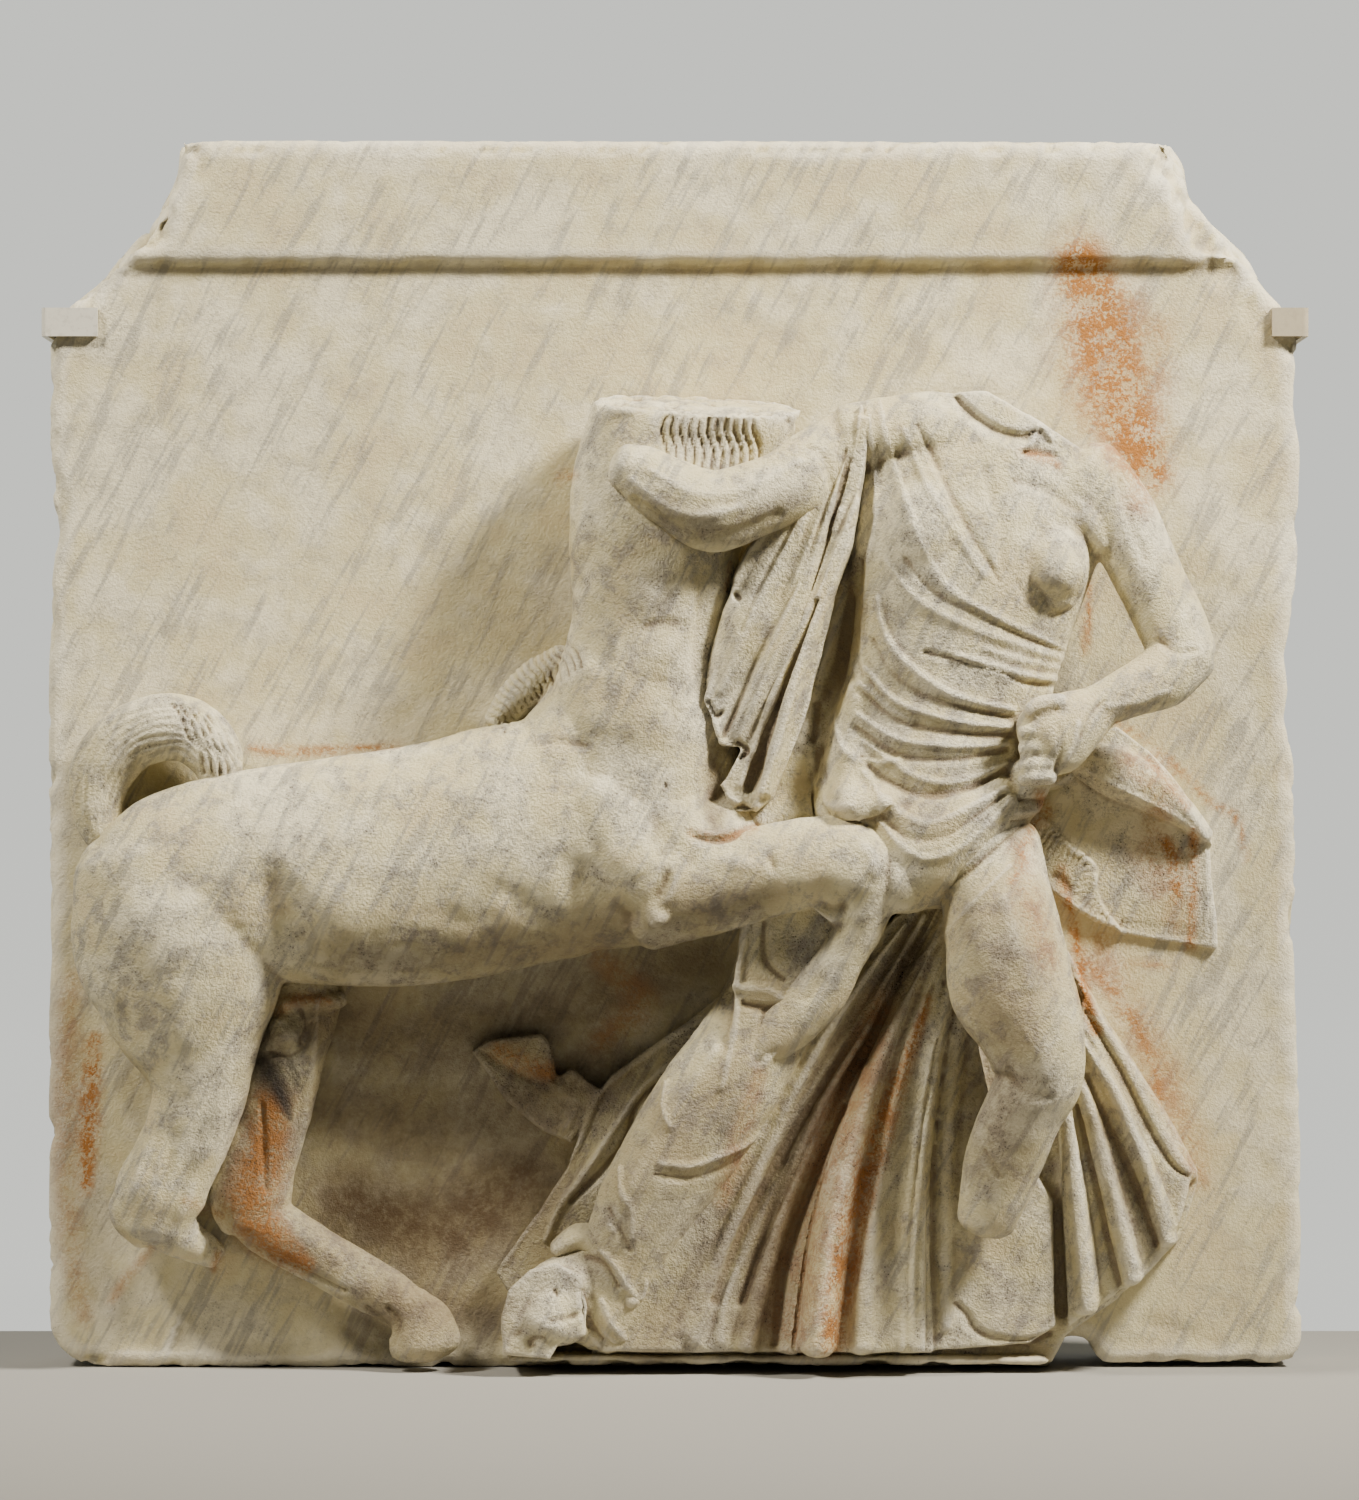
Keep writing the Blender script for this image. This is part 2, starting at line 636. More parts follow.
HORSEMAN_STROKES = [
    (5, 0, [(632, 560, 26), (648, 590, 40), (664, 604, 30)]),
    (-3, 0.5, [(636, 630, 8), (660, 622, 14), (696, 624, 12)]),
    (2.5, 0, [(640, 650, 24), (662, 652, 30), (684, 650, 24)]),
    (-2, 0.4, [(622, 672, 8), (650, 680, 14), (692, 684, 10)]),
    (5, 0, [(622, 712, 30), (652, 722, 44), (676, 716, 28)]),
    (-5, 0, [(703, 556, 9), (701, 610, 12), (698, 660, 12), (692, 715, 9)]),
    (4, 0, [(722, 565, 10), (722, 610, 14), (716, 655, 12)]),
    (-6, 0, [(592, 592, 20), (596, 640, 24), (600, 676, 18)]),
    (3, 0, [(580, 500, 10), (584, 530, 14), (580, 562, 10)]),
    (-5, 0, [(640, 446, 16), (668, 440, 26), (705, 442, 32), (745, 440, 26), (772, 444, 14)]),
    (3, 0, [(596, 420, 10), (612, 410, 14), (640, 408, 10)]),
    (-3, 0.5, [(556, 760, 30), (590, 740, 40), (640, 748, 30)]),
]
LOCK_LINE = [(660, 443), (712, 444), (762, 442)]
CREST_LINE = [(490, 720), (508, 697), (532, 675), (556, 660), (574, 646)]
END_FADE = 0.35
LOCKS = ticks(LOCK_LINE, 11, 30, 92, -5, 4.2)
CREST_HAIRS = ticks(CREST_LINE, 15, 20, 104, -5, 3.6)
carve(horse, HORSE_STROKES + HORSEMAN_STROKES, END_FADE)
carve(horse, LOCKS + CREST_HAIRS)


# %% [markdown]
# ## The far hind leg and the tail
#
# The far hind leg and the tail lie lower, close to the slab. They are small and need a finer skin than the
# body, so they are a skin of their own. The tail's hairs are nine strands and a row of locks at its bend. A
# finer grain for the whole centaur would do as well, but it would cost too many faces.

# %% Far hind leg and tail
FINE_CELL = 0.0026
FAR_PARTS = {
    "far haunch": [
        (312, 985, 34, 36, 34), (302, 1020, 35, 34, 32), (290, 1056, 35, 34, 30), (276, 1105, 37, 32, 30),
        (258, 1160, 38, 32, 30), (250, 1198, 41, 34, 30), (252, 1220, 34, 34, 28),
    ],
    "far cannon": [
        (248, 1212, 28, 34, 28), (276, 1231, 30, 34, 26), (314, 1253, 28, 34, 24), (352, 1275, 27, 34, 22),
        (388, 1296, 26, 36, 24), (408, 1310, 24, 38, 26),
    ],
    "far hoof": [(408, 1306, 24, 38, 26), (420, 1324, 33, 42, 30), (425, 1344, 36, 44, 32)],
    "sheath": [(286, 1004, 9, 56, 18), (318, 1001, 11, 56, 18), (342, 999, 9, 54, 14)],
    "scrotum": [(284, 1022, 16, 50, 20), (288, 1036, 20, 50, 24), (290, 1046, 14, 48, 18)],
    "tail": [
        (222, 792, 18, 50, 30), (215, 758, 28, 52, 34), (192, 732, 33, 50, 34), (160, 728, 34, 46, 32),
        (127, 741, 33, 40, 30), (104, 767, 33, 36, 28), (97, 797, 28, 34, 26), (101, 828, 22, 34, 24),
        (116, 855, 14, 36, 22),
    ],
}
FAR_STROKES = [
    (-3, 0, [(262, 1105, 4), (263, 1140, 6), (266, 1190, 5)]),
    (3, 0, [(318, 1000, 6), (312, 1060, 8), (302, 1130, 8), (292, 1190, 6)]),
    (-4, 0, [(232, 1236, 4), (285, 1262, 6), (345, 1290, 5)]),
    (-8, 0, [(366, 1308, 5), (378, 1320, 8), (387, 1332, 6)]),
    (-4, 0, [(388, 1308, 5), (398, 1322, 6), (392, 1344, 5)]),
    (-4, 0, [(270, 1052, 5), (290, 1056, 7), (306, 1044, 6), (312, 1024, 5)]),
    (-4, 0, [(300, 1012, 4), (306, 1026, 5), (300, 1044, 4)]),
    (-2, 0, [(328, 988, 3), (340, 998, 4), (346, 1010, 3)]),
]
TAIL_LOCK = [(172, 703, 2.6), (182, 718, 3.4), (188, 736, 3.4), (200, 752, 3.4), (203, 774, 2.6)]
TAIL_LOCKS = 6
LOCK_COLUMNS = 9
LOCK_ROWS = 3
LOCK_DEPTH = -3.2
locks = []
for k in range(TAIL_LOCKS):
    moved = [(column + LOCK_COLUMNS * k, row + LOCK_ROWS * k, width) for column, row, width in TAIL_LOCK]
    locks.append((LOCK_DEPTH, 0, moved))
far_parts = figure_piece("far_leg_and_tail", FINE_CELL, 2, FAR_PARTS.values())
carve(far_parts, FAR_STROKES + strands(FAR_PARTS["tail"], 9, -1.5, 3.4, 1.2))
carve(far_parts, locks)


# %% [markdown]
# ## The woman above the hips
#
# Her torso turns to the front, one arm grips the centaur's hair and the other fist holds her dress. The
# thin dress clings, so the body is modelled first and the folds are strokes that hang across it: a raised
# stroke for each fold and a sunk one for the valley beside it. Her neck is broken off along two sloping
# planes.

# %% Forms of the woman
WOMAN_CELL = 0.0031
WOMAN_TORSO = [
    (898, 854, 90, 84, 76), (914, 818, 108, 92, 82), (930, 765, 107, 92, 80), (943, 705, 105, 92, 80),
    (955, 645, 108, 94, 82), (965, 590, 118, 96, 84), (974, 535, 126, 94, 82), (980, 485, 128, 86, 76),
    (982, 440, 118, 78, 68), (968, 405, 106, 70, 58), (950, 380, 92, 64, 50),
]
WOMAN = {
    "gripping shoulder": [
        (1000, 470, 46, 84, 60), (940, 440, 48, 86, 60), (890, 436, 40, 90, 54), (850, 440, 36, 96, 44),
    ],
    "free shoulder": [(1010, 488, 40, 84, 58), (1064, 486, 42, 88, 54), (1100, 498, 42, 90, 50)],
    "armpit": [(1056, 500, 30, 96, 48), (1086, 522, 26, 98, 46), (1102, 546, 14, 98, 38)],
    "bared breast": [
        (1040, 526, 30, 106, 50), (1048, 552, 38, 120, 56), (1054, 578, 35, 126, 56),
        (1054, 600, 24, 114, 48),
    ],
    "covered breast": [
        (938, 480, 36, 112, 50), (930, 512, 50, 120, 56), (930, 546, 50, 124, 56), (940, 584, 38, 114, 52),
    ],
    "gripping arm": [
        (846, 446, 36, 100, 34), (816, 466, 38, 118, 38), (788, 486, 38, 132, 40), (752, 500, 38, 142, 40),
        (712, 511, 41, 146, 42), (672, 493, 35, 146, 38), (642, 474, 30, 146, 32), (624, 466, 24, 144, 28),
    ],
    "free upper arm": [
        (1082, 478, 44, 92, 48), (1112, 510, 41, 96, 46), (1134, 545, 36, 100, 42), (1155, 590, 35, 106, 40),
        (1174, 630, 35, 114, 38), (1184, 656, 33, 120, 38),
    ],
    "free forearm": [
        (1188, 652, 32, 122, 36), (1162, 677, 31, 134, 36), (1128, 693, 26, 148, 32),
        (1098, 707, 22, 158, 28), (1080, 716, 24, 164, 28),
    ],
    "fist": [
        (1098, 708, 24, 158, 28), (1076, 722, 34, 166, 33), (1054, 736, 40, 170, 35),
        (1040, 744, 36, 168, 32),
    ],
    "thumb": [(1062, 702, 9, 186, 13), (1044, 704, 9, 190, 12), (1030, 712, 8, 188, 11)],
    "hips": [
        (852, 858, 50, 112, 52), (905, 852, 62, 130, 60), (958, 824, 50, 132, 58), (1002, 800, 34, 124, 50),
    ],
    "bunch under the fist": [(1030, 772, 24, 132, 34), (1020, 800, 22, 122, 34), (1002, 826, 18, 116, 34)],
}
FINGER = [(1052, 0, 9, 184, 14), (1034, 1, 9, 188, 13), (1022, 3, 8, 184, 12)]
FINGER_ROWS = (730, 746, 763, 776)
WOMAN_NECK_BREAKS = [((860, 397), (955, 393), 10), ((955, 390), (1046, 444), -14)]
WOMAN_SHEETS = {
    "valley cloth": (
        [(866, 480), (884, 600), (880, 700), (884, 840), (752, 838), (745, 806), (778, 745), (811, 631),
         (842, 540)], 104),
}
fingers = [[(column, row + lower, *rest) for column, lower, *rest in FINGER] for row in FINGER_ROWS]
woman = figure_piece(
    "woman_above_the_hips", WOMAN_CELL, 4, [*WOMAN.values(), *fingers], WOMAN_SHEETS.values(),
    broken=[(WOMAN_TORSO, WOMAN_NECK_BREAKS)])

# %% Folds of the dress, arms and hand
BODICE_STROKES = [
    (3, 0.7, [(882, 405, 8), (893, 455, 9), (912, 510, 10), (930, 556, 10), (955, 590, 10),
              (1000, 616, 9), (1045, 638, 8), (1078, 657, 6)]),
    (3, 0.3, [(888, 560, 5), (915, 596, 7), (950, 617, 8), (990, 634, 8), (1040, 651, 7), (1080, 664, 5)]),
    (-2.5, 0, [(905, 560, 5), (935, 592, 6), (975, 613, 6), (1020, 635, 5), (1072, 655, 4)]),
    (2.5, 0.2, [(985, 648, 4), (1020, 659, 6), (1078, 672, 5)]),
    (4.5, 0.5, [(960, 655, 6), (1000, 668, 9), (1040, 676, 9), (1084, 681, 7)]),
    (-3.5, 0, [(925, 652, 4), (965, 662, 5), (1000, 671, 5), (1030, 683, 5), (1085, 688, 4)]),
    (5, 0.4, [(880, 598, 5), (884, 625, 7), (898, 652, 8), (925, 676, 8), (960, 696, 7), (1012, 708, 5)]),
    (-3.5, 0, [(872, 640, 6), (890, 672, 8), (925, 696, 8), (965, 708, 7), (1012, 718, 5)]),
    (4.5, 0, [(868, 668, 5), (895, 700, 6), (935, 716, 6), (975, 724, 5), (1010, 727, 4)]),
    (-3.5, 0, [(862, 690, 6), (890, 716, 8), (930, 729, 8), (970, 734, 7), (1010, 736, 5)]),
    (4.5, 0, [(862, 716, 5), (895, 738, 6), (940, 745, 6), (980, 746, 5), (1008, 744, 4)]),
    (-3.5, 0, [(858, 728, 6), (890, 752, 8), (935, 760, 8), (975, 757, 6), (1008, 750, 4)]),
    (3.5, 0.3, [(866, 740, 5), (895, 762, 7), (915, 775, 7), (945, 782, 7), (975, 776, 6), (1005, 762, 4)]),
    (-3, 0, [(862, 758, 5), (890, 782, 7), (925, 795, 7), (965, 790, 6), (1005, 770, 4)]),
    (3.5, 0.3, [(866, 772, 5), (880, 790, 6), (900, 812, 8), (925, 822, 8), (950, 816, 7), (1005, 788, 4)]),
    (-3, 0, [(880, 812, 6), (905, 836, 8), (940, 838, 8), (970, 820, 6), (1005, 794, 4)]),
    (3, 0.3, [(885, 825, 5), (905, 848, 7), (930, 857, 8), (960, 846, 7), (985, 826, 6), (1010, 800, 4)]),
    (3, 0.3, [(840, 715, 4), (845, 742, 6), (856, 757, 7), (880, 762, 6), (900, 758, 4)]),
    (3, 0.3, [(820, 740, 4), (822, 775, 6), (834, 798, 7), (862, 802, 5)]),
    (2.5, 0, [(858, 590, 4), (851, 640, 6), (857, 672, 6), (882, 702, 6), (912, 722, 4)]),
    (2.5, 0, [(868, 400, 4), (876, 500, 5), (869, 560, 5), (862, 640, 5), (868, 680, 4)]),
    (-7, 0, [(860, 560, 6), (850, 620, 12), (838, 664, 16), (822, 700, 14), (812, 740, 8)]),
    (9, 0, [(858, 690, 16), (846, 730, 24), (850, 780, 26), (862, 820, 18)]),
    (-5, 0, [(816, 705, 7), (818, 745, 9), (824, 790, 8), (836, 812, 6)]),
    (16, 0, [(764, 822, 26), (800, 812, 34), (850, 806, 34), (885, 806, 26)]),
    (-3, 0, [(842, 566, 4), (829, 612, 6), (818, 660, 6), (806, 720, 5)]),
    (-7, 0.5, [(956, 394, 5), (976, 414, 10), (1002, 430, 12), (1024, 434, 10), (1036, 430, 6)]),
    (5, 0, [(1030, 446, 4), (1040, 428, 5), (1052, 440, 4)]),
    (-4, 0, [(1024, 452, 5), (1038, 452, 8), (1056, 456, 5)]),
    (2.5, 0, [(905, 430, 5), (925, 480, 7), (955, 530, 8), (985, 575, 6)]),
    (-3, 0, [(918, 425, 5), (945, 480, 7), (970, 530, 6), (1000, 580, 5)]),
    (-2.5, 0, [(985, 470, 8), (1000, 520, 12), (1004, 570, 8)]),
    (-1.5, 0, [(1018, 582, 5), (1034, 606, 8), (1052, 616, 8), (1072, 604, 6), (1082, 580, 4)]),
    (-3, 0, [(1016, 480, 8), (1050, 492, 10), (1078, 510, 8)]),
]
ARM_STROKES = [
    (3, 0.4, [(632, 478, 6), (668, 506, 9), (700, 514, 9), (740, 506, 8)]),
    (-4, 0, [(634, 500, 8), (680, 534, 12), (730, 536, 13), (778, 514, 9)]),
    (2.5, 0, [(650, 470, 6), (700, 494, 9), (750, 486, 10), (800, 462, 8)]),
    (-3, 0, [(808, 446, 5), (826, 460, 8), (832, 486, 6)]),
    (-2.5, 0, [(1120, 480, 6), (1130, 520, 8), (1146, 560, 6)]),
    (-3, 0, [(1160, 640, 5), (1176, 652, 7), (1196, 650, 5)]),
    (2, 0, [(1168, 690, 6), (1140, 700, 8), (1110, 706, 6)]),
    (-2.5, 0, [(1104, 700, 4), (1090, 716, 6), (1082, 736, 5)]),
    (-2, 0, [(1058, 724, 4), (1062, 745, 5), (1056, 770, 4)]),
    (3, 0, [(1078, 722, 4), (1074, 742, 6), (1066, 760, 4)]),
    (-4, 0, [(1062, 792, 4), (1044, 800, 5), (1020, 800, 4)]),
    (-4, 0, [(1056, 806, 4), (1036, 818, 5), (1012, 822, 4)]),
    (3, 0, [(1058, 799, 4), (1040, 809, 5), (1016, 812, 4)]),
]
carve(woman, BODICE_STROKES + ARM_STROKES)


# %% [markdown]
# ## The cloth that falls from the shoulder
#
# A bundle of pleats falls from her shoulder, wide at its hem and gathered at its top. Four thin forms give
# the pleats their thickness and a sheet gives the bundle its ragged outline. A cloth simulation could hang
# it too, but it would hang softer than carved stone does, so it is drawn.

# %% Pleats from the shoulder
SHOULDER_FALL = {
    "fall 1": [
        (858, 418, 6, 110, 30), (806, 520, 24, 116, 32), (760, 610, 34, 114, 32), (724, 692, 22, 104, 28),
    ],
    "fall 2": [
        (862, 418, 5, 112, 30), (818, 530, 16, 120, 32), (782, 640, 20, 120, 32), (738, 735, 14, 110, 28),
    ],
    "fall 3": [
        (866, 418, 5, 112, 30), (838, 540, 10, 118, 32), (800, 640, 12, 118, 32), (742, 785, 14, 108, 28),
    ],
    "fall 4": [
        (870, 418, 4, 112, 28), (846, 540, 8, 122, 32), (808, 640, 10, 122, 32), (764, 792, 11, 116, 28),
    ],
}
FALL_SHEETS = {
    "shoulder fall": (
        [(862, 404), (820, 452), (788, 505), (748, 548), (734, 575), (728, 610), (722, 650), (704, 700),
         (712, 718), (720, 745), (742, 748), (722, 785), (735, 812), (757, 812), (774, 798), (804, 720),
         (820, 660), (844, 560), (868, 420)], 132),
}
FALL_STROKES = [
    (5, 0.3, [(858, 500, 5), (824, 585, 6), (807, 631, 7), (793, 683, 7), (781, 729, 7), (768, 771, 7),
              (758, 806, 6)]),
    (4, 0.3, [(843, 510, 4), (811, 598, 6), (788, 657, 7), (773, 703, 7), (755, 752, 6)]),
    (-9, 0, [(818, 600, 3), (797, 655, 5), (780, 696, 8), (766, 729, 10), (757, 762, 11), (748, 788, 8)]),
    (-3, 0, [(836, 470, 3), (806, 560, 4), (775, 625, 5), (745, 690, 6), (722, 738, 5)]),
    (-2.5, 0, [(846, 450, 3), (822, 520, 4), (797, 600, 5), (768, 660, 5), (735, 735, 4)]),
    (3, 0, [(800, 520, 8), (770, 580, 12), (742, 640, 12), (722, 690, 8)]),
    (-2.5, 0, [(820, 470, 3), (795, 520, 4), (765, 575, 5), (742, 630, 4)]),
    (3, 0, [(862, 405, 4), (850, 470, 5), (835, 530, 5)]),
    (-2.5, 0, [(856, 430, 3), (844, 480, 4), (829, 540, 4), (812, 590, 3)]),
    (2.5, 0, [(832, 445, 4), (812, 500, 5), (798, 540, 4)]),
    (-7, 0, [(735, 594, 4), (738, 598, 4)]),
    (-6, 0, [(708, 702, 3), (716, 716, 5), (722, 712, 3)]),
    (-6, 0, [(738, 744, 4), (746, 750, 5), (740, 758, 3)]),
    (3, 0, [(712, 722, 5), (722, 742, 7), (734, 750, 5)]),
    (4, 0, [(722, 775, 5), (724, 792, 7), (738, 802, 6)]),
    (-5, 0, [(733, 812, 4), (742, 806, 4), (752, 812, 4)]),
]
fall = figure_piece("fall_from_the_shoulder", FINE_CELL, 2, SHOULDER_FALL.values(), FALL_SHEETS.values())
carve(fall, FALL_STROKES)


# %% [markdown]
# ## The woman's legs
#
# One leg strides forward and is bare. The other trails under thin cloth, which shows as a few soft strokes
# over a long smooth form. The foot ends in a block of stone that the carver left for strength. The legs
# could be shaped by hand in Sculpt mode, but stations keep the stride easy to compare with the drawing.

# %% Legs and the cloth on them
LEG_CELL = 0.0033
LEGS = {
    "trailing leg": [
        (846, 905, 56, 56, 44), (806, 956, 60, 58, 46), (768, 1014, 52, 74, 50), (740, 1062, 54, 84, 52),
        (710, 1106, 57, 86, 52), (680, 1152, 56, 84, 50), (652, 1198, 51, 80, 48), (628, 1244, 44, 74, 46),
        (612, 1290, 40, 66, 42), (604, 1330, 38, 60, 40),
    ],
    "trailing foot": [
        (606, 1256, 22, 58, 38), (580, 1278, 32, 66, 44), (558, 1298, 38, 74, 48), (548, 1320, 38, 80, 50),
    ],
    "leading leg": [
        (985, 850, 56, 112, 66), (996, 895, 56, 132, 70), (1004, 940, 59, 148, 70),
        (1011, 985, 62, 158, 68), (1028, 1022, 56, 164, 64), (1038, 1058, 48, 164, 60),
        (1038, 1082, 44, 160, 56), (1024, 1110, 40, 152, 52), (1007, 1150, 40, 140, 48),
        (995, 1190, 36, 130, 44), (986, 1220, 30, 124, 40),
    ],
}
LEG_SHEETS = {
    "foot block": (
        [(504, 1354), (500, 1318), (508, 1290), (530, 1270), (556, 1262), (580, 1276), (588, 1308),
         (586, 1336), (560, 1342), (550, 1360)], 116),
    "cloth behind the shin": (
        [(744, 908), (735, 985), (733, 1040), (720, 1092), (752, 1080), (822, 1006), (856, 940), (850, 900)],
        132),
}
LEG_STROKES = [
    (4, 0, [(660, 1163, 4), (690, 1166, 5), (720, 1156, 5), (750, 1143, 5), (768, 1128, 4)]),
    (-3, 0, [(655, 1174, 4), (690, 1178, 6), (724, 1168, 6), (752, 1154, 4)]),
    (3, 0, [(666, 1082, 4), (663, 1108, 5), (672, 1128, 4)]),
    (3, 0, [(620, 1168, 4), (622, 1190, 5), (632, 1212, 5), (632, 1238, 4)]),
    (-3.5, 0, [(608, 1208, 4), (618, 1226, 6), (630, 1250, 5)]),
    (4, 0, [(600, 1250, 4), (615, 1266, 6), (630, 1290, 6), (640, 1298, 5), (646, 1282, 4)]),
    (-4, 0, [(585, 1255, 4), (605, 1266, 6), (618, 1286, 5)]),
    (-6, 0, [(583, 1290, 5), (587, 1315, 7), (594, 1330, 7), (606, 1344, 6), (622, 1356, 5)]),
    (4, 0, [(602, 1300, 5), (612, 1325, 7), (634, 1346, 5)]),
    (-3, 0, [(586, 1310, 4), (570, 1317, 6), (550, 1321, 5)]),
    (-5, 0, [(555, 1290, 4), (557, 1294, 4)]),
    (5, 0.4, [(748, 922, 5), (742, 956, 7), (737, 985, 6)]),
    (-5, 0, [(764, 922, 5), (763, 950, 8), (768, 966, 8), (784, 980, 5)]),
    (3.5, 0, [(734, 988, 7), (750, 988, 9), (768, 990, 10), (782, 998, 8)]),
    (-5, 0, [(742, 1003, 5), (760, 1008, 8), (776, 1008, 6)]),
    (-4, 0, [(765, 1012, 6), (763, 1034, 9), (758, 1060, 7)]),
    (3.5, 0, [(739, 1003, 5), (735, 1030, 7), (729, 1060, 7), (722, 1088, 5)]),
    (3.5, 0, [(716, 1050, 10), (676, 1110, 14), (640, 1170, 14), (612, 1226, 10)]),
    (-3, 0, [(984, 1150, 5), (992, 1164, 7), (1000, 1176, 5)]),
    (-3, 0, [(962, 1000, 6), (982, 1030, 8), (996, 1062, 6)]),
    (3, 0, [(1030, 1030, 10), (1044, 1050, 16), (1046, 1074, 10)]),
    (-3, 0, [(1008, 1070, 6), (1022, 1092, 10), (1050, 1096, 8)]),
    (3, 0, [(1004, 900, 12), (1020, 950, 18), (1030, 985, 12)]),
    (2.5, 0, [(985, 1110, 6), (974, 1150, 8), (966, 1200, 6)]),
    (-4, 0.3, [(886, 915, 4), (925, 900, 6), (957, 878, 6), (984, 856, 6), (1022, 825, 4)]),
    (3, 0, [(880, 1000, 4), (930, 950, 6), (972, 905, 6), (1010, 866, 4)]),
]
legs = figure_piece("woman_legs", LEG_CELL, 2, LEGS.values(), LEG_SHEETS.values())
carve(legs, LEG_STROKES)


# %% [markdown]
# ## The skirt
#
# The skirt hangs between the legs in deep pleats and flares out behind the leading leg. Sheets at stepped
# depths give its layers, forms that widen towards the hem give each pleat, and sunk strokes cut the
# shadows. A simulation could drape it, but a carver's pleats are more regular than real cloth, so they are
# drawn.

# %% Layers and pleats of the skirt
SKIRT_CELL = 0.0031
SKIRT = {
    "skirt 1": [
        (905, 922, 5, 70, 28), (822, 1040, 10, 72, 28), (742, 1200, 13, 72, 26), (694, 1340, 15, 72, 26),
    ],
    "skirt 2": [
        (925, 915, 5, 72, 28), (852, 1050, 9, 74, 28), (784, 1200, 12, 74, 26), (746, 1345, 14, 74, 26),
    ],
    "skirt 3": [
        (950, 905, 6, 78, 32), (884, 1050, 13, 90, 38), (838, 1200, 18, 98, 44), (816, 1345, 20, 102, 46),
    ],
    "skirt 4": [
        (965, 895, 6, 78, 32), (908, 1040, 11, 84, 36), (872, 1200, 14, 88, 38), (860, 1345, 16, 90, 40),
    ],
    "skirt 5": [
        (980, 885, 6, 76, 32), (937, 1030, 11, 80, 34), (913, 1200, 14, 84, 34), (906, 1345, 14, 84, 34),
    ],
    "skirt 6": [
        (968, 965, 8, 66, 28), (952, 1060, 13, 60, 30), (944, 1200, 12, 56, 30), (944, 1325, 10, 54, 30),
    ],
    "flare 1": [
        (1058, 1078, 5, 60, 26), (1066, 1122, 8, 62, 28), (1077, 1220, 11, 64, 30),
        (1085, 1308, 13, 64, 30),
    ],
    "flare 2": [
        (1074, 1072, 5, 60, 26), (1087, 1108, 9, 60, 28), (1110, 1196, 12, 62, 30),
        (1130, 1278, 13, 62, 30),
    ],
    "flare 3": [
        (1080, 1038, 5, 56, 26), (1112, 1092, 9, 56, 28), (1143, 1168, 11, 58, 28),
        (1166, 1240, 12, 58, 28),
    ],
    "flare 4": [
        (1076, 978, 4, 48, 22), (1112, 1040, 7, 46, 22), (1155, 1110, 9, 44, 22), (1190, 1176, 9, 42, 20),
    ],
}
SKIRT_SHEETS = {
    "skirt ground": (
        [(760, 925), (900, 890), (1000, 850), (1076, 965), (1199, 1180), (1178, 1240), (1117, 1298),
         (1066, 1335), (1052, 1362), (590, 1362), (600, 1290), (650, 1180), (715, 1060)], 46),
    "cloth beside the leg": (
        [(760, 1050), (700, 1130), (650, 1220), (610, 1300), (600, 1352), (680, 1352), (720, 1250),
         (770, 1150), (800, 1070)], 94),
    "pleated skirt": (
        [(905, 905), (975, 890), (958, 965), (938, 1020), (930, 1120), (928, 1230), (932, 1352), (648, 1352),
         (690, 1250), (742, 1150), (798, 1050), (858, 960)], 88),
    "broad fold": (
        [(950, 905), (905, 985), (868, 1080), (835, 1165), (810, 1250), (796, 1352), (925, 1352), (926, 1225),
         (928, 1060), (940, 985), (975, 890)], 112),
    "hem panel": (
        [(925, 1010), (962, 965), (990, 1100), (1052, 1200), (1056, 1325), (1030, 1344), (925, 1350)], 76),
    "flared hem": (
        [(1060, 1090), (1082, 1000), (1140, 1085), (1192, 1172), (1182, 1212), (1172, 1244), (1148, 1272),
         (1090, 1312), (1068, 1326)], 72),
}
print(len(SKIRT), "forms and", len(SKIRT_SHEETS), "sheets")

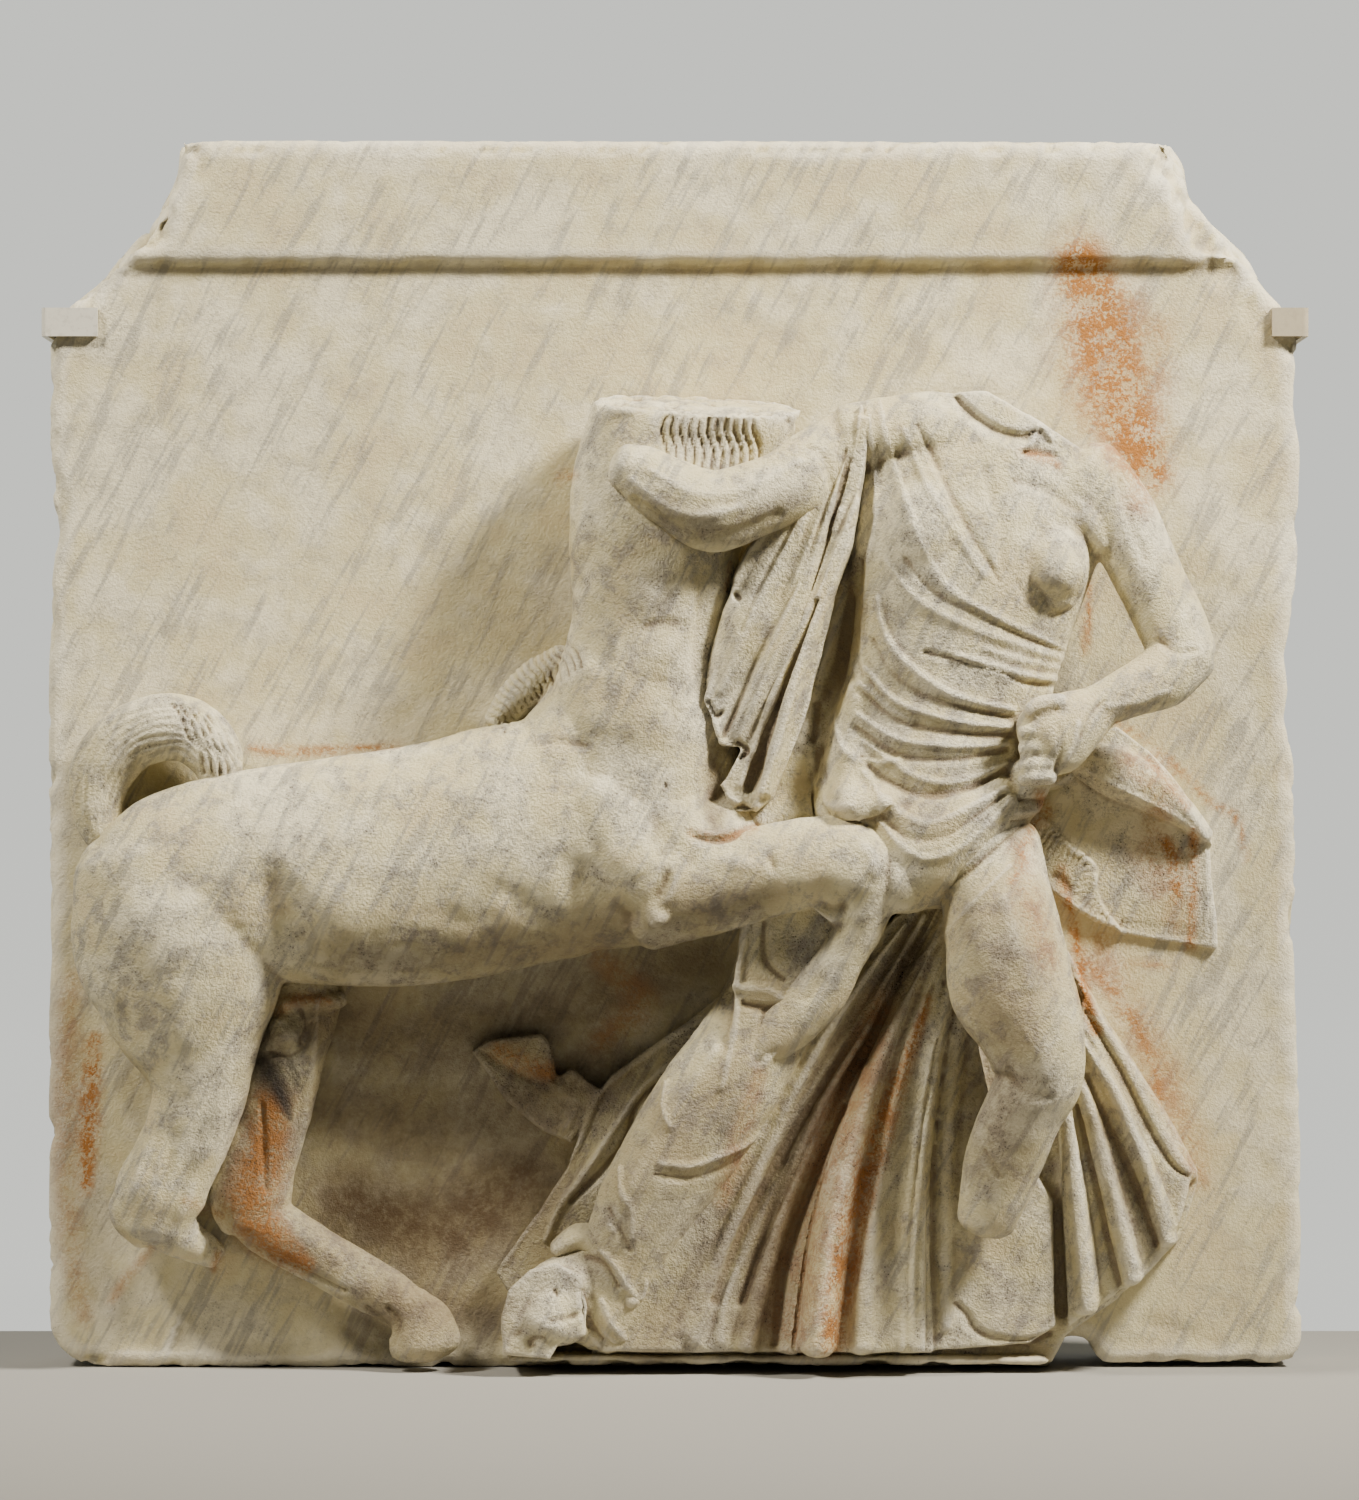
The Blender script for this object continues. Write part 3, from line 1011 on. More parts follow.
# %% Carve the skirt
SKIRT_STROKES = [
    (3.5, 0, [(930, 905, 4), (880, 990, 6), (840, 1050, 8), (800, 1110, 9), (770, 1150, 10), (725, 1240, 11),
              (700, 1290, 11), (685, 1330, 11)]),
    (-5, 0, [(905, 960, 4), (862, 1025, 6), (822, 1085, 8), (785, 1150, 9), (742, 1230, 9), (715, 1300, 9)]),
    (3.5, 0, [(945, 900, 4), (900, 980, 6), (860, 1040, 8), (815, 1110, 9), (790, 1160, 10), (745, 1250, 10),
              (725, 1300, 10), (722, 1340, 10)]),
    (-5, 0, [(925, 955, 4), (880, 1030, 6), (838, 1092, 7), (806, 1150, 8), (770, 1220, 9), (742, 1300, 9)]),
    (-7, 0, [(846, 1105, 5), (822, 1160, 7), (800, 1215, 9), (784, 1265, 9), (774, 1345, 9)]),
    (6, 0.6, [(866, 1070, 6), (850, 1105, 9), (835, 1160, 11), (818, 1210, 12), (806, 1260, 13),
              (798, 1310, 13),
              (794, 1356, 13)]),
    (-2, 0, [(935, 985, 4), (912, 1040, 7), (892, 1110, 10), (874, 1180, 12), (858, 1240, 12),
             (848, 1290, 10)]),
    (-3, 0, [(836, 1240, 5), (834, 1292, 7)]),
    (3, 0, [(925, 1000, 6), (902, 1090, 10), (886, 1180, 13), (878, 1250, 14), (874, 1345, 13)]),
    (-5, 0, [(940, 1040, 4), (924, 1120, 6), (914, 1200, 7), (908, 1270, 8), (908, 1350, 8)]),
    (2.5, 0, [(962, 1230, 18), (990, 1270, 26), (1000, 1330, 22)]),
    (-3, 0, [(1050, 1160, 10), (1058, 1230, 14), (1062, 1310, 12)]),
    (-4, 0, [(956, 1304, 5), (966, 1314, 8), (978, 1332, 8), (1020, 1342, 7), (1050, 1334, 5)]),
    (3.5, 0, [(1070, 1120, 4), (1080, 1180, 6), (1090, 1250, 8), (1095, 1300, 8)]),
    (-5, 0, [(1077, 1105, 4), (1092, 1170, 6), (1106, 1230, 8), (1120, 1290, 8)]),
    (3.5, 0, [(1085, 1090, 4), (1105, 1150, 6), (1120, 1210, 8), (1135, 1265, 8)]),
    (-5, 0, [(1087, 1075, 4), (1111, 1130, 6), (1136, 1190, 8), (1156, 1245, 7)]),
    (3.5, 0, [(1084, 1025, 4), (1105, 1065, 6), (1130, 1120, 7), (1155, 1180, 8), (1172, 1225, 7)]),
    (-5, 0, [(1085, 1010, 4), (1120, 1070, 6), (1150, 1130, 7), (1172, 1165, 6), (1188, 1176, 4)]),
    (3.5, 0.3, [(1080, 985, 4), (1110, 1035, 6), (1145, 1085, 7), (1175, 1130, 7), (1195, 1170, 6)]),
]
HIP_STROKES = LEG_STROKES[-2:]
skirt = figure_piece("skirt", SKIRT_CELL, 2, SKIRT.values(), SKIRT_SHEETS.values())
carve(skirt, SKIRT_STROKES + HIP_STROKES)


# %% [markdown]
# ## Low cloth and the kicking hoof
#
# The cloak behind the trailing leg, the mantle that blows out on the right and a kicking hoof lie almost
# flat on the slab. The mantle's fringe is a row of short ticks along its hem and along its scalloped
# border. An image of heights could push them out of the slab, but outlines keep their cut edges crisp.

# %% Cloak, mantle and hoof
LOW_FORMS = {
    "mantle roll": [
        (1086, 760, 20, 14, 24), (1118, 774, 26, 14, 27), (1150, 791, 21, 12, 25), (1182, 812, 14, 10, 20),
        (1207, 836, 8, 6, 13),
    ],
    "ankle fold": [
        (556, 1250, 10, 60, 26), (584, 1238, 16, 66, 30), (612, 1262, 16, 74, 32), (632, 1300, 13, 74, 32),
    ],
}
LOW_SHEETS = {
    "trailing cloak": (
        [(760, 930), (733, 985), (680, 1027), (611, 1075), (590, 1110), (568, 1167), (541, 1210), (497, 1272),
         (508, 1291), (570, 1262), (650, 1180), (740, 1060)], 24),
    "blown mantle": (
        [(1030, 790), (1090, 750), (1180, 815), (1209, 840), (1217, 948), (1122, 934), (1090, 895),
         (1042, 880)], 5),
    "scalloped border": (
        [(1026, 806), (1044, 822), (1062, 842), (1078, 850), (1091, 862), (1095, 878), (1093, 894),
         (1103, 911), (1122, 930), (1094, 922), (1066, 904), (1046, 884), (1034, 856)], 10),
    "mantle roll face": (
        [(1085, 742), (1116, 726), (1150, 752), (1180, 787), (1206, 826), (1213, 846), (1180, 820),
         (1140, 802), (1100, 780), (1080, 768)], 14),
    "kicking hoof": (
        [(471, 1051), (488, 1040), (541, 1034), (553, 1046), (557, 1078), (572, 1068), (600, 1090),
         (583, 1120), (571, 1143), (542, 1131), (507, 1101)], 26),
}
LOW_STROKES = [
    (4, 0, [(700, 1040, 4), (650, 1080, 5), (620, 1120, 6), (600, 1150, 6), (580, 1180, 6),
            (560, 1205, 6), (545, 1240, 4)]),
    (-5, 0, [(690, 1062, 4), (640, 1100, 6), (625, 1140, 7), (600, 1172, 7), (570, 1202, 5)]),
    (3, 0.5, [(730, 1002, 4), (700, 1022, 5), (660, 1047, 6), (625, 1072, 6), (602, 1092, 6),
              (592, 1112, 6), (580, 1142, 6), (557, 1182, 6), (532, 1222, 6), (504, 1264, 5)]),
    (2.5, 0, [(1112, 740, 8), (1140, 760, 10), (1166, 786, 9), (1190, 814, 7), (1207, 836, 4)]),
    (3, 0.3, [(1086, 768, 4), (1116, 786, 6), (1146, 800, 6), (1180, 818, 5), (1206, 838, 4)]),
    (2.2, 0, [(1214, 842, 3), (1215, 890, 3.5), (1214, 946, 3)]),
    (1.6, 0, [(1206, 845, 3), (1207, 900, 3.5), (1206, 940, 3)]),
    (2.4, 0, [(1045, 884, 3), (1080, 908, 4), (1125, 931, 4), (1180, 941, 4), (1214, 946, 3)]),
    (2.4, 0, [(1082, 855, 3), (1095, 868, 4), (1095, 888, 4), (1104, 910, 4), (1124, 934, 3)]),
    (2, 0, [(1026, 805, 3), (1055, 832, 4), (1070, 848, 4), (1082, 856, 3)]),
    (-3, 0, [(1054, 876, 8), (1064, 884, 9), (1070, 890, 6)]),
    (5, 0, [(1083, 752, 4), (1070, 775, 6), (1045, 787, 6), (1025, 790, 4)]),
    (-4, 0, [(552, 1040, 4), (556, 1060, 6), (554, 1080, 5)]),
    (3, 0, [(560, 1090, 10), (576, 1104, 12), (566, 1126, 8)]),
    (-3, 0, [(482, 1052, 6), (505, 1066, 9), (530, 1080, 8)]),
]
print(len(LOW_FORMS), "forms and", len(LOW_SHEETS), "sheets")

# %% Carve the low cloth and its fringe
FRINGE_HEM = [(1120, 930), (1160, 933), (1200, 938)]
FRINGE_BORDER = [
    (1040, 832), (1062, 852), (1078, 862), (1083, 878), (1082, 896), (1092, 912), (1108, 924)]
FRINGE = ticks(FRINGE_HEM, 17, 10, 90, -2.2, 2.4) + ticks(FRINGE_BORDER, 19, 10, 90, -2.2, 2.4)
low_cloth = figure_piece("low_cloth_and_hoof", FINE_CELL, 2, LOW_FORMS.values(), LOW_SHEETS.values())
carve(low_cloth, LOW_STROKES)
carve(low_cloth, FRINGE)


# %% [markdown]
# ## Wear and breaks
#
# Two thousand years have left the surface uneven at several sizes, and the edges chipped. Noise in space
# moves every point a little. `roughen` bites deeper along lines, where the stone broke. A displacement
# texture could do the same, but here the same values give the same stone on every run.

# %% Uneven wear
SEED_STEP = 17.3
HASH_STEPS = np.array((73856093, 19349663, 83492791))
HASH_SPREAD = 1274126177
HASH_TOP = 65535
FIGURE_WEAR = [(70, 1.3), (28, 0.8), (13, 0.45), (7, 0.25)]
SLAB_WEAR = [(220, 1.2), (70, 0.8), (24, 0.5), (13, 0.35)]


def noise(points, size, seed):
    """Smooth random values from -1 to 1 that change over a size in metres."""
    cells = points / size + seed * SEED_STEP
    base = np.floor(cells).astype(np.int64)
    part = cells - base
    part = part * part * (3 - 2 * part)
    total = np.zeros(len(points))
    for corner in np.ndindex(2, 2, 2):
        x, y, z = ((base + corner) * HASH_STEPS).T
        mixed = x ^ y ^ z
        mixed = (mixed ^ (mixed >> 13)) * HASH_SPREAD
        value = ((mixed ^ (mixed >> 16)) & HASH_TOP) / (HASH_TOP / 2) - 1
        weight = np.prod(np.where(corner, part, 1 - part), axis=1)
        total += weight * value
    return total


def weather(piece, amounts, seed):
    """Uneven wear: (size of the unevenness, height) in mm, several sizes at once."""
    mesh = piece.data
    points = points_of(mesh)
    normals = normals_of(mesh)
    height = sum(tall * MM * noise(points, size * MM, seed + k) for k, (size, tall) in enumerate(amounts))
    set_points(mesh, points + normals * height[:, None])


marble_pieces = (slab, horse, far_parts, woman, fall, legs, skirt, low_cloth)
for seed, piece in enumerate(marble_pieces):
    weather(piece, SLAB_WEAR if piece is slab else FIGURE_WEAR, 10 * seed)
print("worn", len(marble_pieces), "pieces")

# %% Where the stone broke
TOP_ARRIS = [(180, 146), (450, 147), (700, 147), (1165, 147)]
LEFT_CORNER = [(56, 318), (110, 262), (150, 225), (172, 175), (178, 145)]
RIGHT_CORNER = [(1175, 150), (1185, 195), (1215, 240), (1255, 275), (1298, 335)]
SIDE_EDGES = [
    [(50, 330), (52, 480), (50, 800), (50, 1100), (52, 1350)],
    [(1298, 345), (1294, 700), (1294, 1000), (1300, 1355)],
    [(60, 1360), (500, 1364), (1050, 1362)],
    [(1095, 1360), (1296, 1360)],
]
BAND_FOOT = [(130, 263), (500, 263), (900, 263), (1232, 263)]
NECK_FACE = [(610, 402), (700, 404), (820, 408)]
HOCK_BREAK = [(196, 1236), (225, 1262)]
BLOCK_FOOT = [(520, 1340), (560, 1352), (590, 1358)]
print(len(SIDE_EDGES), "lines round the slab and", len(NECK_FACE), "points on the neck")

# %% Chip the edges and breaks
FINER_BITES = 2.6
BITE_LEVEL = 0.2
DEEPEST_BITE = 1.2


def roughen(piece, lines, size, height, seed):
    """Bites of a size in mm into the marble near the lines."""
    mesh = piece.data
    points = points_of(mesh)
    normals = normals_of(mesh)
    spots = drawn(points)
    near = np.zeros(len(points))
    for line in lines:
        near = np.maximum(near, reach(spots, line))
    coarse = noise(points, size * MM, seed)
    fine = noise(points, size * MM / FINER_BITES, seed + 5)
    bite = np.clip(BITE_LEVEL + coarse + 0.5 * fine, 0, DEEPEST_BITE)
    set_points(mesh, points - normals * (bite * near * height * MM)[:, None])


def widened(line, half_width):
    return [(column, row, half_width) for column, row in line]


roughen(slab, [widened(TOP_ARRIS, 9)], 12, 5, 3)
roughen(slab, [widened(LEFT_CORNER, 40), widened(RIGHT_CORNER, 40)], 26, 13, 4)
roughen(slab, [widened(line, 11) for line in SIDE_EDGES], 22, 7, 6)
roughen(slab, [widened(BAND_FOOT, 6)], 16, 3, 7)
roughen(horse, [widened(NECK_FACE, 26)], 18, 7, 8)
roughen(horse, [widened(HOCK_BREAK, 24)], 14, 4, 9)
roughen(legs, [widened(BLOCK_FOOT, 18)], 14, 4, 11)
print("chipped the slab, the centaur's neck and hock, and the block under the foot")


# %% [markdown]
# ## Stains
#
# Dirt gathers in hollows, and ridges are rubbed pale. Blender can bake that as ambient occlusion, but a
# value stored on each point also works without a bake: each point is compared with the average of its
# neighbours. Rust, soot and brown earth lie in long patches, so they are strokes too, of (strength, line).

# %% Hollows and ridges
HOLLOW_ROUNDS = 14
HOLLOW_DEPTH = 0.0022
CLEAN_BACK = 0.02


def softened(mesh, values, rounds):
    """Each vertex's value averaged with its neighbours', so many times over."""
    edges = np.empty(len(mesh.edges) * 2, int)
    mesh.edges.foreach_get("vertices", edges)
    a, b = edges.reshape(-1, 2).T
    count = np.bincount(a, minlength=len(values)) + np.bincount(b, minlength=len(values))
    count = np.maximum(count, 1)
    table = values.reshape(len(values), -1)
    for _ in range(rounds):
        sums = np.empty_like(table)
        for k in range(table.shape[1]):
            near = table[:, k]
            sums[:, k] = np.bincount(a, near[b], len(near)) + np.bincount(b, near[a], len(near))
        table = 0.5 * table + 0.5 * sums / count[:, None]
    return table.reshape(values.shape)


def set_value(mesh, name, values):
    layer = mesh.attributes.new(name, "FLOAT", "POINT")
    layer.data.foreach_set("value", values.astype(np.float32))


def in_front(points):
    """How far in front of the slab's plain back each point lies, as a share, so that the back stays clean."""
    return np.clip((BACK_Y - points[:, 1]) / CLEAN_BACK - 1, 0, 1)


def mark_hollows(piece):
    """Stores how deep each vertex lies in a hollow, below 0 on a ridge, for dirt and wear."""
    mesh = piece.data
    points = points_of(mesh)
    normals = normals_of(mesh)
    below = ((softened(mesh, points, HOLLOW_ROUNDS) - points) * normals).sum(axis=1)
    set_value(mesh, "hollow", np.clip(below / HOLLOW_DEPTH, -1, 1) * in_front(points))


for piece in marble_pieces:
    mark_hollows(piece)
print("marked the hollows of", len(marble_pieces), "pieces")

# %% Rust
RUST = [
    (0.35, [(880, 1010, 30), (850, 1120, 50), (820, 1230, 54), (800, 1330, 50)]),
    (0.8, [(925, 1010, 8), (900, 1075, 14), (868, 1160, 24), (842, 1260, 28), (830, 1345, 24)]),
    (0.35, [(1020, 850, 24), (1030, 900, 30), (1050, 960, 24)]),
    (0.45, [(1100, 940, 24), (1130, 1010, 40), (1170, 1090, 34), (1200, 1180, 24)]),
    (0.4, [(1130, 760, 24), (1160, 800, 24), (1150, 860, 34), (1180, 920, 24)]),
    (1, [(1080, 262, 50), (1100, 320, 76), (1116, 390, 80), (1150, 470, 44)]),
    (0.5, [(1160, 330, 30), (1150, 420, 40), (1140, 500, 30)]),
    (0.75, [(1194, 830, 8), (1193, 880, 11), (1191, 945, 9)]),
    (0.8, [(1118, 724, 5), (1150, 744, 6), (1175, 766, 6), (1210, 802, 6), (1236, 818, 6), (1246, 858, 5)]),
    (0.6, [(1040, 795, 10), (1046, 815, 12), (1030, 832, 12), (1022, 862, 16), (1012, 880, 10)]),
    (0.6, [(1062, 870, 12), (1064, 890, 14)]),
    (0.8, [(1166, 842, 14), (1178, 880, 20), (1170, 915, 16)]),
    (0.55, [(1150, 760, 12), (1166, 782, 14), (1186, 806, 10)]),
    (0.9, [(1068, 900, 8), (1076, 940, 10), (1084, 990, 12), (1096, 1030, 12)]),
    (0.75, [(1088, 964, 12), (1120, 1000, 16), (1146, 1046, 14), (1160, 1100, 14)]),
    (0.5, [(1118, 962, 8), (1172, 966, 9)]),
    (0.55, [(1022, 452, 8), (1040, 456, 12), (1058, 466, 8)]),
    (0.75, [(1090, 585, 6), (1088, 620, 8), (1085, 652, 6)]),
    (0.65, [(928, 1000, 9), (905, 1070, 12), (885, 1140, 14), (862, 1220, 14), (848, 1300, 12)]),
    (0.35, [(760, 1075, 14), (740, 1140, 20), (722, 1200, 14)]),
    (0.5, [(280, 1010, 14), (292, 1000, 12), (330, 1000, 8)]),
    (0.95, [(274, 1105, 34), (262, 1160, 42), (252, 1205, 46), (272, 1240, 34), (306, 1266, 16)]),
    (0.95, [(94, 1040, 14), (90, 1095, 20), (88, 1130, 20), (86, 1190, 12)]),
    (0.35, [(70, 980, 20), (66, 1100, 26), (70, 1240, 22), (84, 1320, 16)]),
    (0.8, [(252, 748, 8), (290, 752, 11), (335, 750, 8), (400, 745, 5)]),
    (0.55, [(560, 478, 12), (572, 476, 10)]),
    (0.45, [(150, 1250, 8), (128, 1276, 10), (112, 1300, 8)]),
    (0.55, [(218, 1254, 8), (214, 1268, 8)]),
    (0.6, [(500, 1052, 16), (522, 1062, 20), (548, 1072, 16)]),
    (0.5, [(690, 832, 8), (720, 838, 10), (756, 828, 8)]),
    (0.35, [(600, 960, 20), (640, 1000, 30), (600, 1040, 20)]),
    (0.4, [(730, 562, 4), (726, 590, 4)]),
    (0.4, [(184, 1200, 10), (206, 1210, 12), (224, 1218, 8)]),
]
print(len(RUST), "strokes of rust")

# %% Soot and earth
SOOT = [
    (1, [(262, 1062, 18), (274, 1080, 26), (284, 1100, 22), (290, 1118, 8)]),
    (0.7, [(290, 1062, 12), (298, 1086, 12)]),
    (0.5, [(383, 1345, 8), (392, 1352, 6)]),
    (0.35, [(184, 1128, 16), (205, 1130, 20), (212, 1112, 12)]),
    (0.2, [(650, 500, 30), (730, 524, 36), (800, 486, 26)]),
    (0.28, [(300, 1020, 30), (280, 1120, 50), (262, 1210, 50), (320, 1270, 30)]),
    (0.14, [(380, 960, 40), (500, 960, 50), (640, 930, 50), (740, 900, 40)]),
    (0.35, [(195, 1155, 14), (190, 1175, 10)]),
    (0.3, [(158, 790, 20), (176, 780, 18)]),
]
EARTH = [
    (0.8, [(330, 1020, 80), (420, 1040, 110), (520, 1020, 110), (620, 990, 90), (700, 960, 60)]),
    (0.8, [(345, 1110, 90), (440, 1130, 130), (540, 1100, 120), (600, 1050, 90)]),
    (1, [(350, 1200, 100), (440, 1230, 140), (520, 1180, 120)]),
    (0.8, [(390, 1300, 90), (480, 1310, 80)]),
    (0.5, [(740, 1070, 40), (690, 1130, 90), (640, 1200, 100), (600, 1260, 60)]),
    (0.3, [(790, 960, 50), (760, 1030, 50)]),
    (0.65, [(272, 1040, 40), (262, 1150, 50), (250, 1220, 44), (330, 1262, 34)]),
    (0.6, [(740, 1180, 60), (700, 1280, 70), (660, 1340, 60)]),
    (0.6, [(1000, 930, 80), (1010, 1000, 80), (1000, 1160, 70)]),
    (0.3, [(1000, 1250, 80), (1010, 1320, 80)]),
    (0.5, [(340, 960, 50), (450, 955, 56), (560, 950, 60), (680, 915, 56), (760, 900, 44)]),
    (0.6, [(715, 750, 20), (716, 800, 26), (718, 826, 20)]),
    (0.85, [(915, 950, 30), (870, 1030, 54), (820, 1120, 66), (780, 1220, 70), (760, 1320, 70)]),
    (0.3, [(900, 1080, 40), (880, 1200, 50), (870, 1320, 50)]),
    (0.5, [(1040, 795, 18), (1030, 815, 20), (1016, 840, 18), (1020, 870, 12)]),
    (0.5, [(856, 560, 14), (846, 640, 20), (822, 720, 14), (820, 770, 8)]),
    (0.5, [(780, 696, 10), (764, 735, 16), (752, 780, 14)]),
    (0.5, [(1100, 1120, 24), (1130, 1190, 36), (1150, 1240, 26)]),
    (0.3, [(130, 1080, 20), (134, 1110, 18)]),
    (0.25, [(640, 560, 60), (650, 640, 70), (640, 720, 60)]),
    (0.22, [(450, 560, 70), (520, 640, 80), (560, 560, 60)]),
    (0.3, [(60, 1010, 40), (70, 1150, 50), (100, 1290, 50)]),
    (0.25, [(900, 700, 60), (930, 800, 60)]),
    (0.35, [(660, 510, 30), (730, 530, 34), (790, 500, 30)]),
]
print(len(SOOT), "strokes of soot and", len(EARTH), "of earth")

# %% Store the stains on the points
def stain(piece, name, strokes):
    """Stores how strongly each vertex is stained, from strokes of (strength, line)."""
    points = points_of(piece.data)
    spots = drawn(points)
    total = np.zeros(len(spots))
    for strength, line in strokes:
        total = np.maximum(total, strength * reach(spots, line))
    set_value(piece.data, name, total * in_front(points))


for piece in marble_pieces:
    stain(piece, "rust", RUST)
    stain(piece, "soot", SOOT)
    stain(piece, "earth", EARTH)
    set_value(piece.data, "figure", np.full(len(piece.data.vertices), 0.0 if piece is slab else 1.0))
print("stained", len(marble_pieces), "pieces")


# %% [markdown]
# ## Weathered marble
#
# The panel is white marble, dressed with claw and rasp and then weathered: it is rough, so highlights
# spread out, and cream, grey and brown coats lie over each other. One function adds a node, sets its values
# and joins its inputs, and `strength` multiplies what decides how far a coat shows. The patterns are laid
# in metres on the object's own coordinates, so they run on from one piece to the next. An image could be
# painted for this, but patterns need no file and stay sharp up close.

# %% Colours and nodes
def srgb(text):
    """A colour written as hex, as the linear values that shaders take."""
    values = [int(text[k:k + 2], 16) / 255 for k in (1, 3, 5)]
    return [v / 12.92 if v <= 0.04045 else ((v + 0.055) / 1.055) ** 2.4 for v in values] + [1.0]


def add_node(tree, kind, inputs=(), output=0, **settings):
    """Adds a node, sets or joins its inputs and returns one of its outputs."""
    made = tree.nodes.new(kind)
    for name, value in settings.items():
        setattr(made, name, value)
    for socket, value in dict(inputs).items():
        if isinstance(value, bpy.types.NodeSocket):
            tree.links.new(value, made.inputs[socket])
        else:
            made.inputs[socket].default_value = value
    return made.outputs[output]


def strength(tree, *factors):
    """How far a coat shows: the product of its factors.

    A factor is an output, a number, or an output with two levels between which it rises from 0 to 1.
    """
    total = None
    for factor in factors:
        if isinstance(factor, tuple):
            value, low, high = factor
            factor = add_node(tree, "ShaderNodeMapRange", {
                "Value": value, "From Min": low, "From Max": high}, interpolation_type="SMOOTHSTEP")
        if total is None:
            total = factor
        else:
            total = add_node(tree, "ShaderNodeMath", {0: total, 1: factor}, operation="MULTIPLY")
    return total


def coated(tree, colour, coats):
    """Lays coats of (colour, factors) over a colour, one after the other."""
    for coat, factors in coats:
        colour = add_node(tree, "ShaderNodeMix", {
            "Factor": strength(tree, *factors), "A": colour, "B": srgb(coat),
        }, output="Result", data_type="RGBA", clamp_factor=True)
    return colour


print("the grey #808080 is", round(srgb("#808080")[0], 3), "in linear values")

# %% The marble's patterns
# Sizes in millimetres. The crystals of marble are about 1 mm, too fine to show, so the grain is drawn coarser
# than it is. It makes the stone look crystalline, and not like plaster.
BLOTCHES = 110
PATCHES = 27
GRAIN = 3.6
VEINS = 46
GRAIN_ROUGHNESS = 0.7
VEIN_TURN = math.radians(28)
VEIN_STRETCH = (0.26, 1, 2.2)
SLAB_WORK = 0.4
MARBLE_IOR = 1.5
MARBLE_ROUGHNESS = 0.7


def marble_patterns(tree):
    """The noises that colour the marble, the stored stains, and how closely each piece was worked."""
    spot = add_node(tree, "ShaderNodeTexCoord", output="Object")
    veined = add_node(tree, "ShaderNodeMapping", {
        "Vector": spot, "Rotation": (0, VEIN_TURN, 0), "Scale": VEIN_STRETCH}, vector_type="TEXTURE")
    made = {
        name: add_node(tree, "ShaderNodeAttribute", output="Fac", attribute_name=name)
        for name in ("hollow", "figure", "earth", "rust", "soot")}
    noises = (
        ("blotches", spot, BLOTCHES, 3), ("patches", spot, PATCHES, 5), ("grain", spot, GRAIN, 3),
        ("veins", veined, VEINS, 2))
    for name, where, size, detail in noises:
        made[name] = add_node(tree, "ShaderNodeTexNoise", {
            "Vector": where, "Scale": 1 / (size * MM), "Detail": detail, "Roughness": GRAIN_ROUGHNESS})
    made["pits"] = add_node(tree, "ShaderNodeTexVoronoi", {
        "Vector": spot, "Scale": 1 / (GRAIN * MM)}, output="Distance")
    made["worked"] = add_node(tree, "ShaderNodeMath", {
        0: made["figure"], 1: 1 - SLAB_WORK, 2: SLAB_WORK}, operation="MULTIPLY_ADD")
    return made


print("patterns of", BLOTCHES, PATCHES, VEINS, "and", GRAIN, "mm")

# %% The marble
def weathered_marble():
    material = bpy.data.materials.new("weathered marble")
    material.use_nodes = True
    tree = material.node_tree
    shader = tree.nodes["Principled BSDF"]
    of = marble_patterns(tree)
    off_middle = add_node(tree, "ShaderNodeMath", {0: of["patches"], 1: 0.5}, operation="SUBTRACT")
    crack = add_node(tree, "ShaderNodeMath", {0: off_middle}, operation="ABSOLUTE")
    dappled = add_node(tree, "ShaderNodeMath", {
        0: of["grain"], 1: 0.35, 2: of["patches"]}, operation="MULTIPLY_ADD")
    worn = add_node(tree, "ShaderNodeMath", {
        0: strength(tree, (dappled, 0.46, 0.8)), 1: 0.2, 2: 0.8}, operation="MULTIPLY_ADD")
    crumbs = add_node(tree, "ShaderNodeMath", {
        0: of["grain"], 1: 0.6, 2: strength(tree, of["patches"], 0.6)}, operation="MULTIPLY_ADD")
    speckled = add_node(tree, "ShaderNodeMath", {
        0: strength(tree, (crumbs, 0.52, 0.66)), 1: 0.8, 2: 0.4}, operation="MULTIPLY_ADD")
    cream_and_grey = (
        ("#E4DBBB", [(of["blotches"], 0.46, 0.62)]),
        ("#C9B58C", [(of["blotches"], 0.5, 0.36), 0.45]),
        ("#9A9388", [(of["patches"], 0.49, 0.64), of["worked"], 0.75]),
        ("#8E8A84", [(of["veins"], 0.5, 0.66), 0.55]),
        ("#7A736A", [(crack, 0.02, 0), (of["blotches"], 0.42, 0.56), of["worked"], 0.42]),
        ("#857A68", [(of["grain"], 0.52, 0.7), (of["patches"], 0.4, 0.62), of["worked"], 0.7]),
        ("#F2EAD2", [(of["grain"], 0.46, 0.3), 0.25]),
    )
    dirt_and_stains = (
        ("#6F5940", [(of["hollow"], 0.05, 0.9), of["worked"], 0.66]),
        ("#F0E9D6", [(of["hollow"], -0.1, -0.9), 0.42]),
        ("#5E4A30", [of["earth"], worn]),
        ("#A96E2C", [of["rust"], speckled]),
        ("#2E2721", [of["soot"], worn]),
        ("#3C342A", [(of["pits"], 0.34, 0.14), (of["patches"], 0.5, 0.6), (of["blotches"], 0.46, 0.56),
                     of["worked"], 0.85]),
    )
    colour = coated(tree, srgb("#D6CBA0"), cream_and_grey + dirt_and_stains)
    tree.links.new(colour, shader.inputs["Base Color"])
    shader.inputs["IOR"].default_value = MARBLE_IOR
    shader.inputs["Roughness"].default_value = MARBLE_ROUGHNESS
    grain = add_node(tree, "ShaderNodeBump", {
        "Height": strength(tree, of["grain"], of["worked"]), "Strength": 1.0, "Distance": GRAIN * MM})
    tree.links.new(grain, shader.inputs["Normal"])
    return material


marble = weathered_marble()
for piece in marble_pieces:
    piece.data.materials.append(marble)
    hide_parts("marble_relief")
    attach(piece, "root")
print(marble.name, "with", len(marble.node_tree.nodes), "nodes")


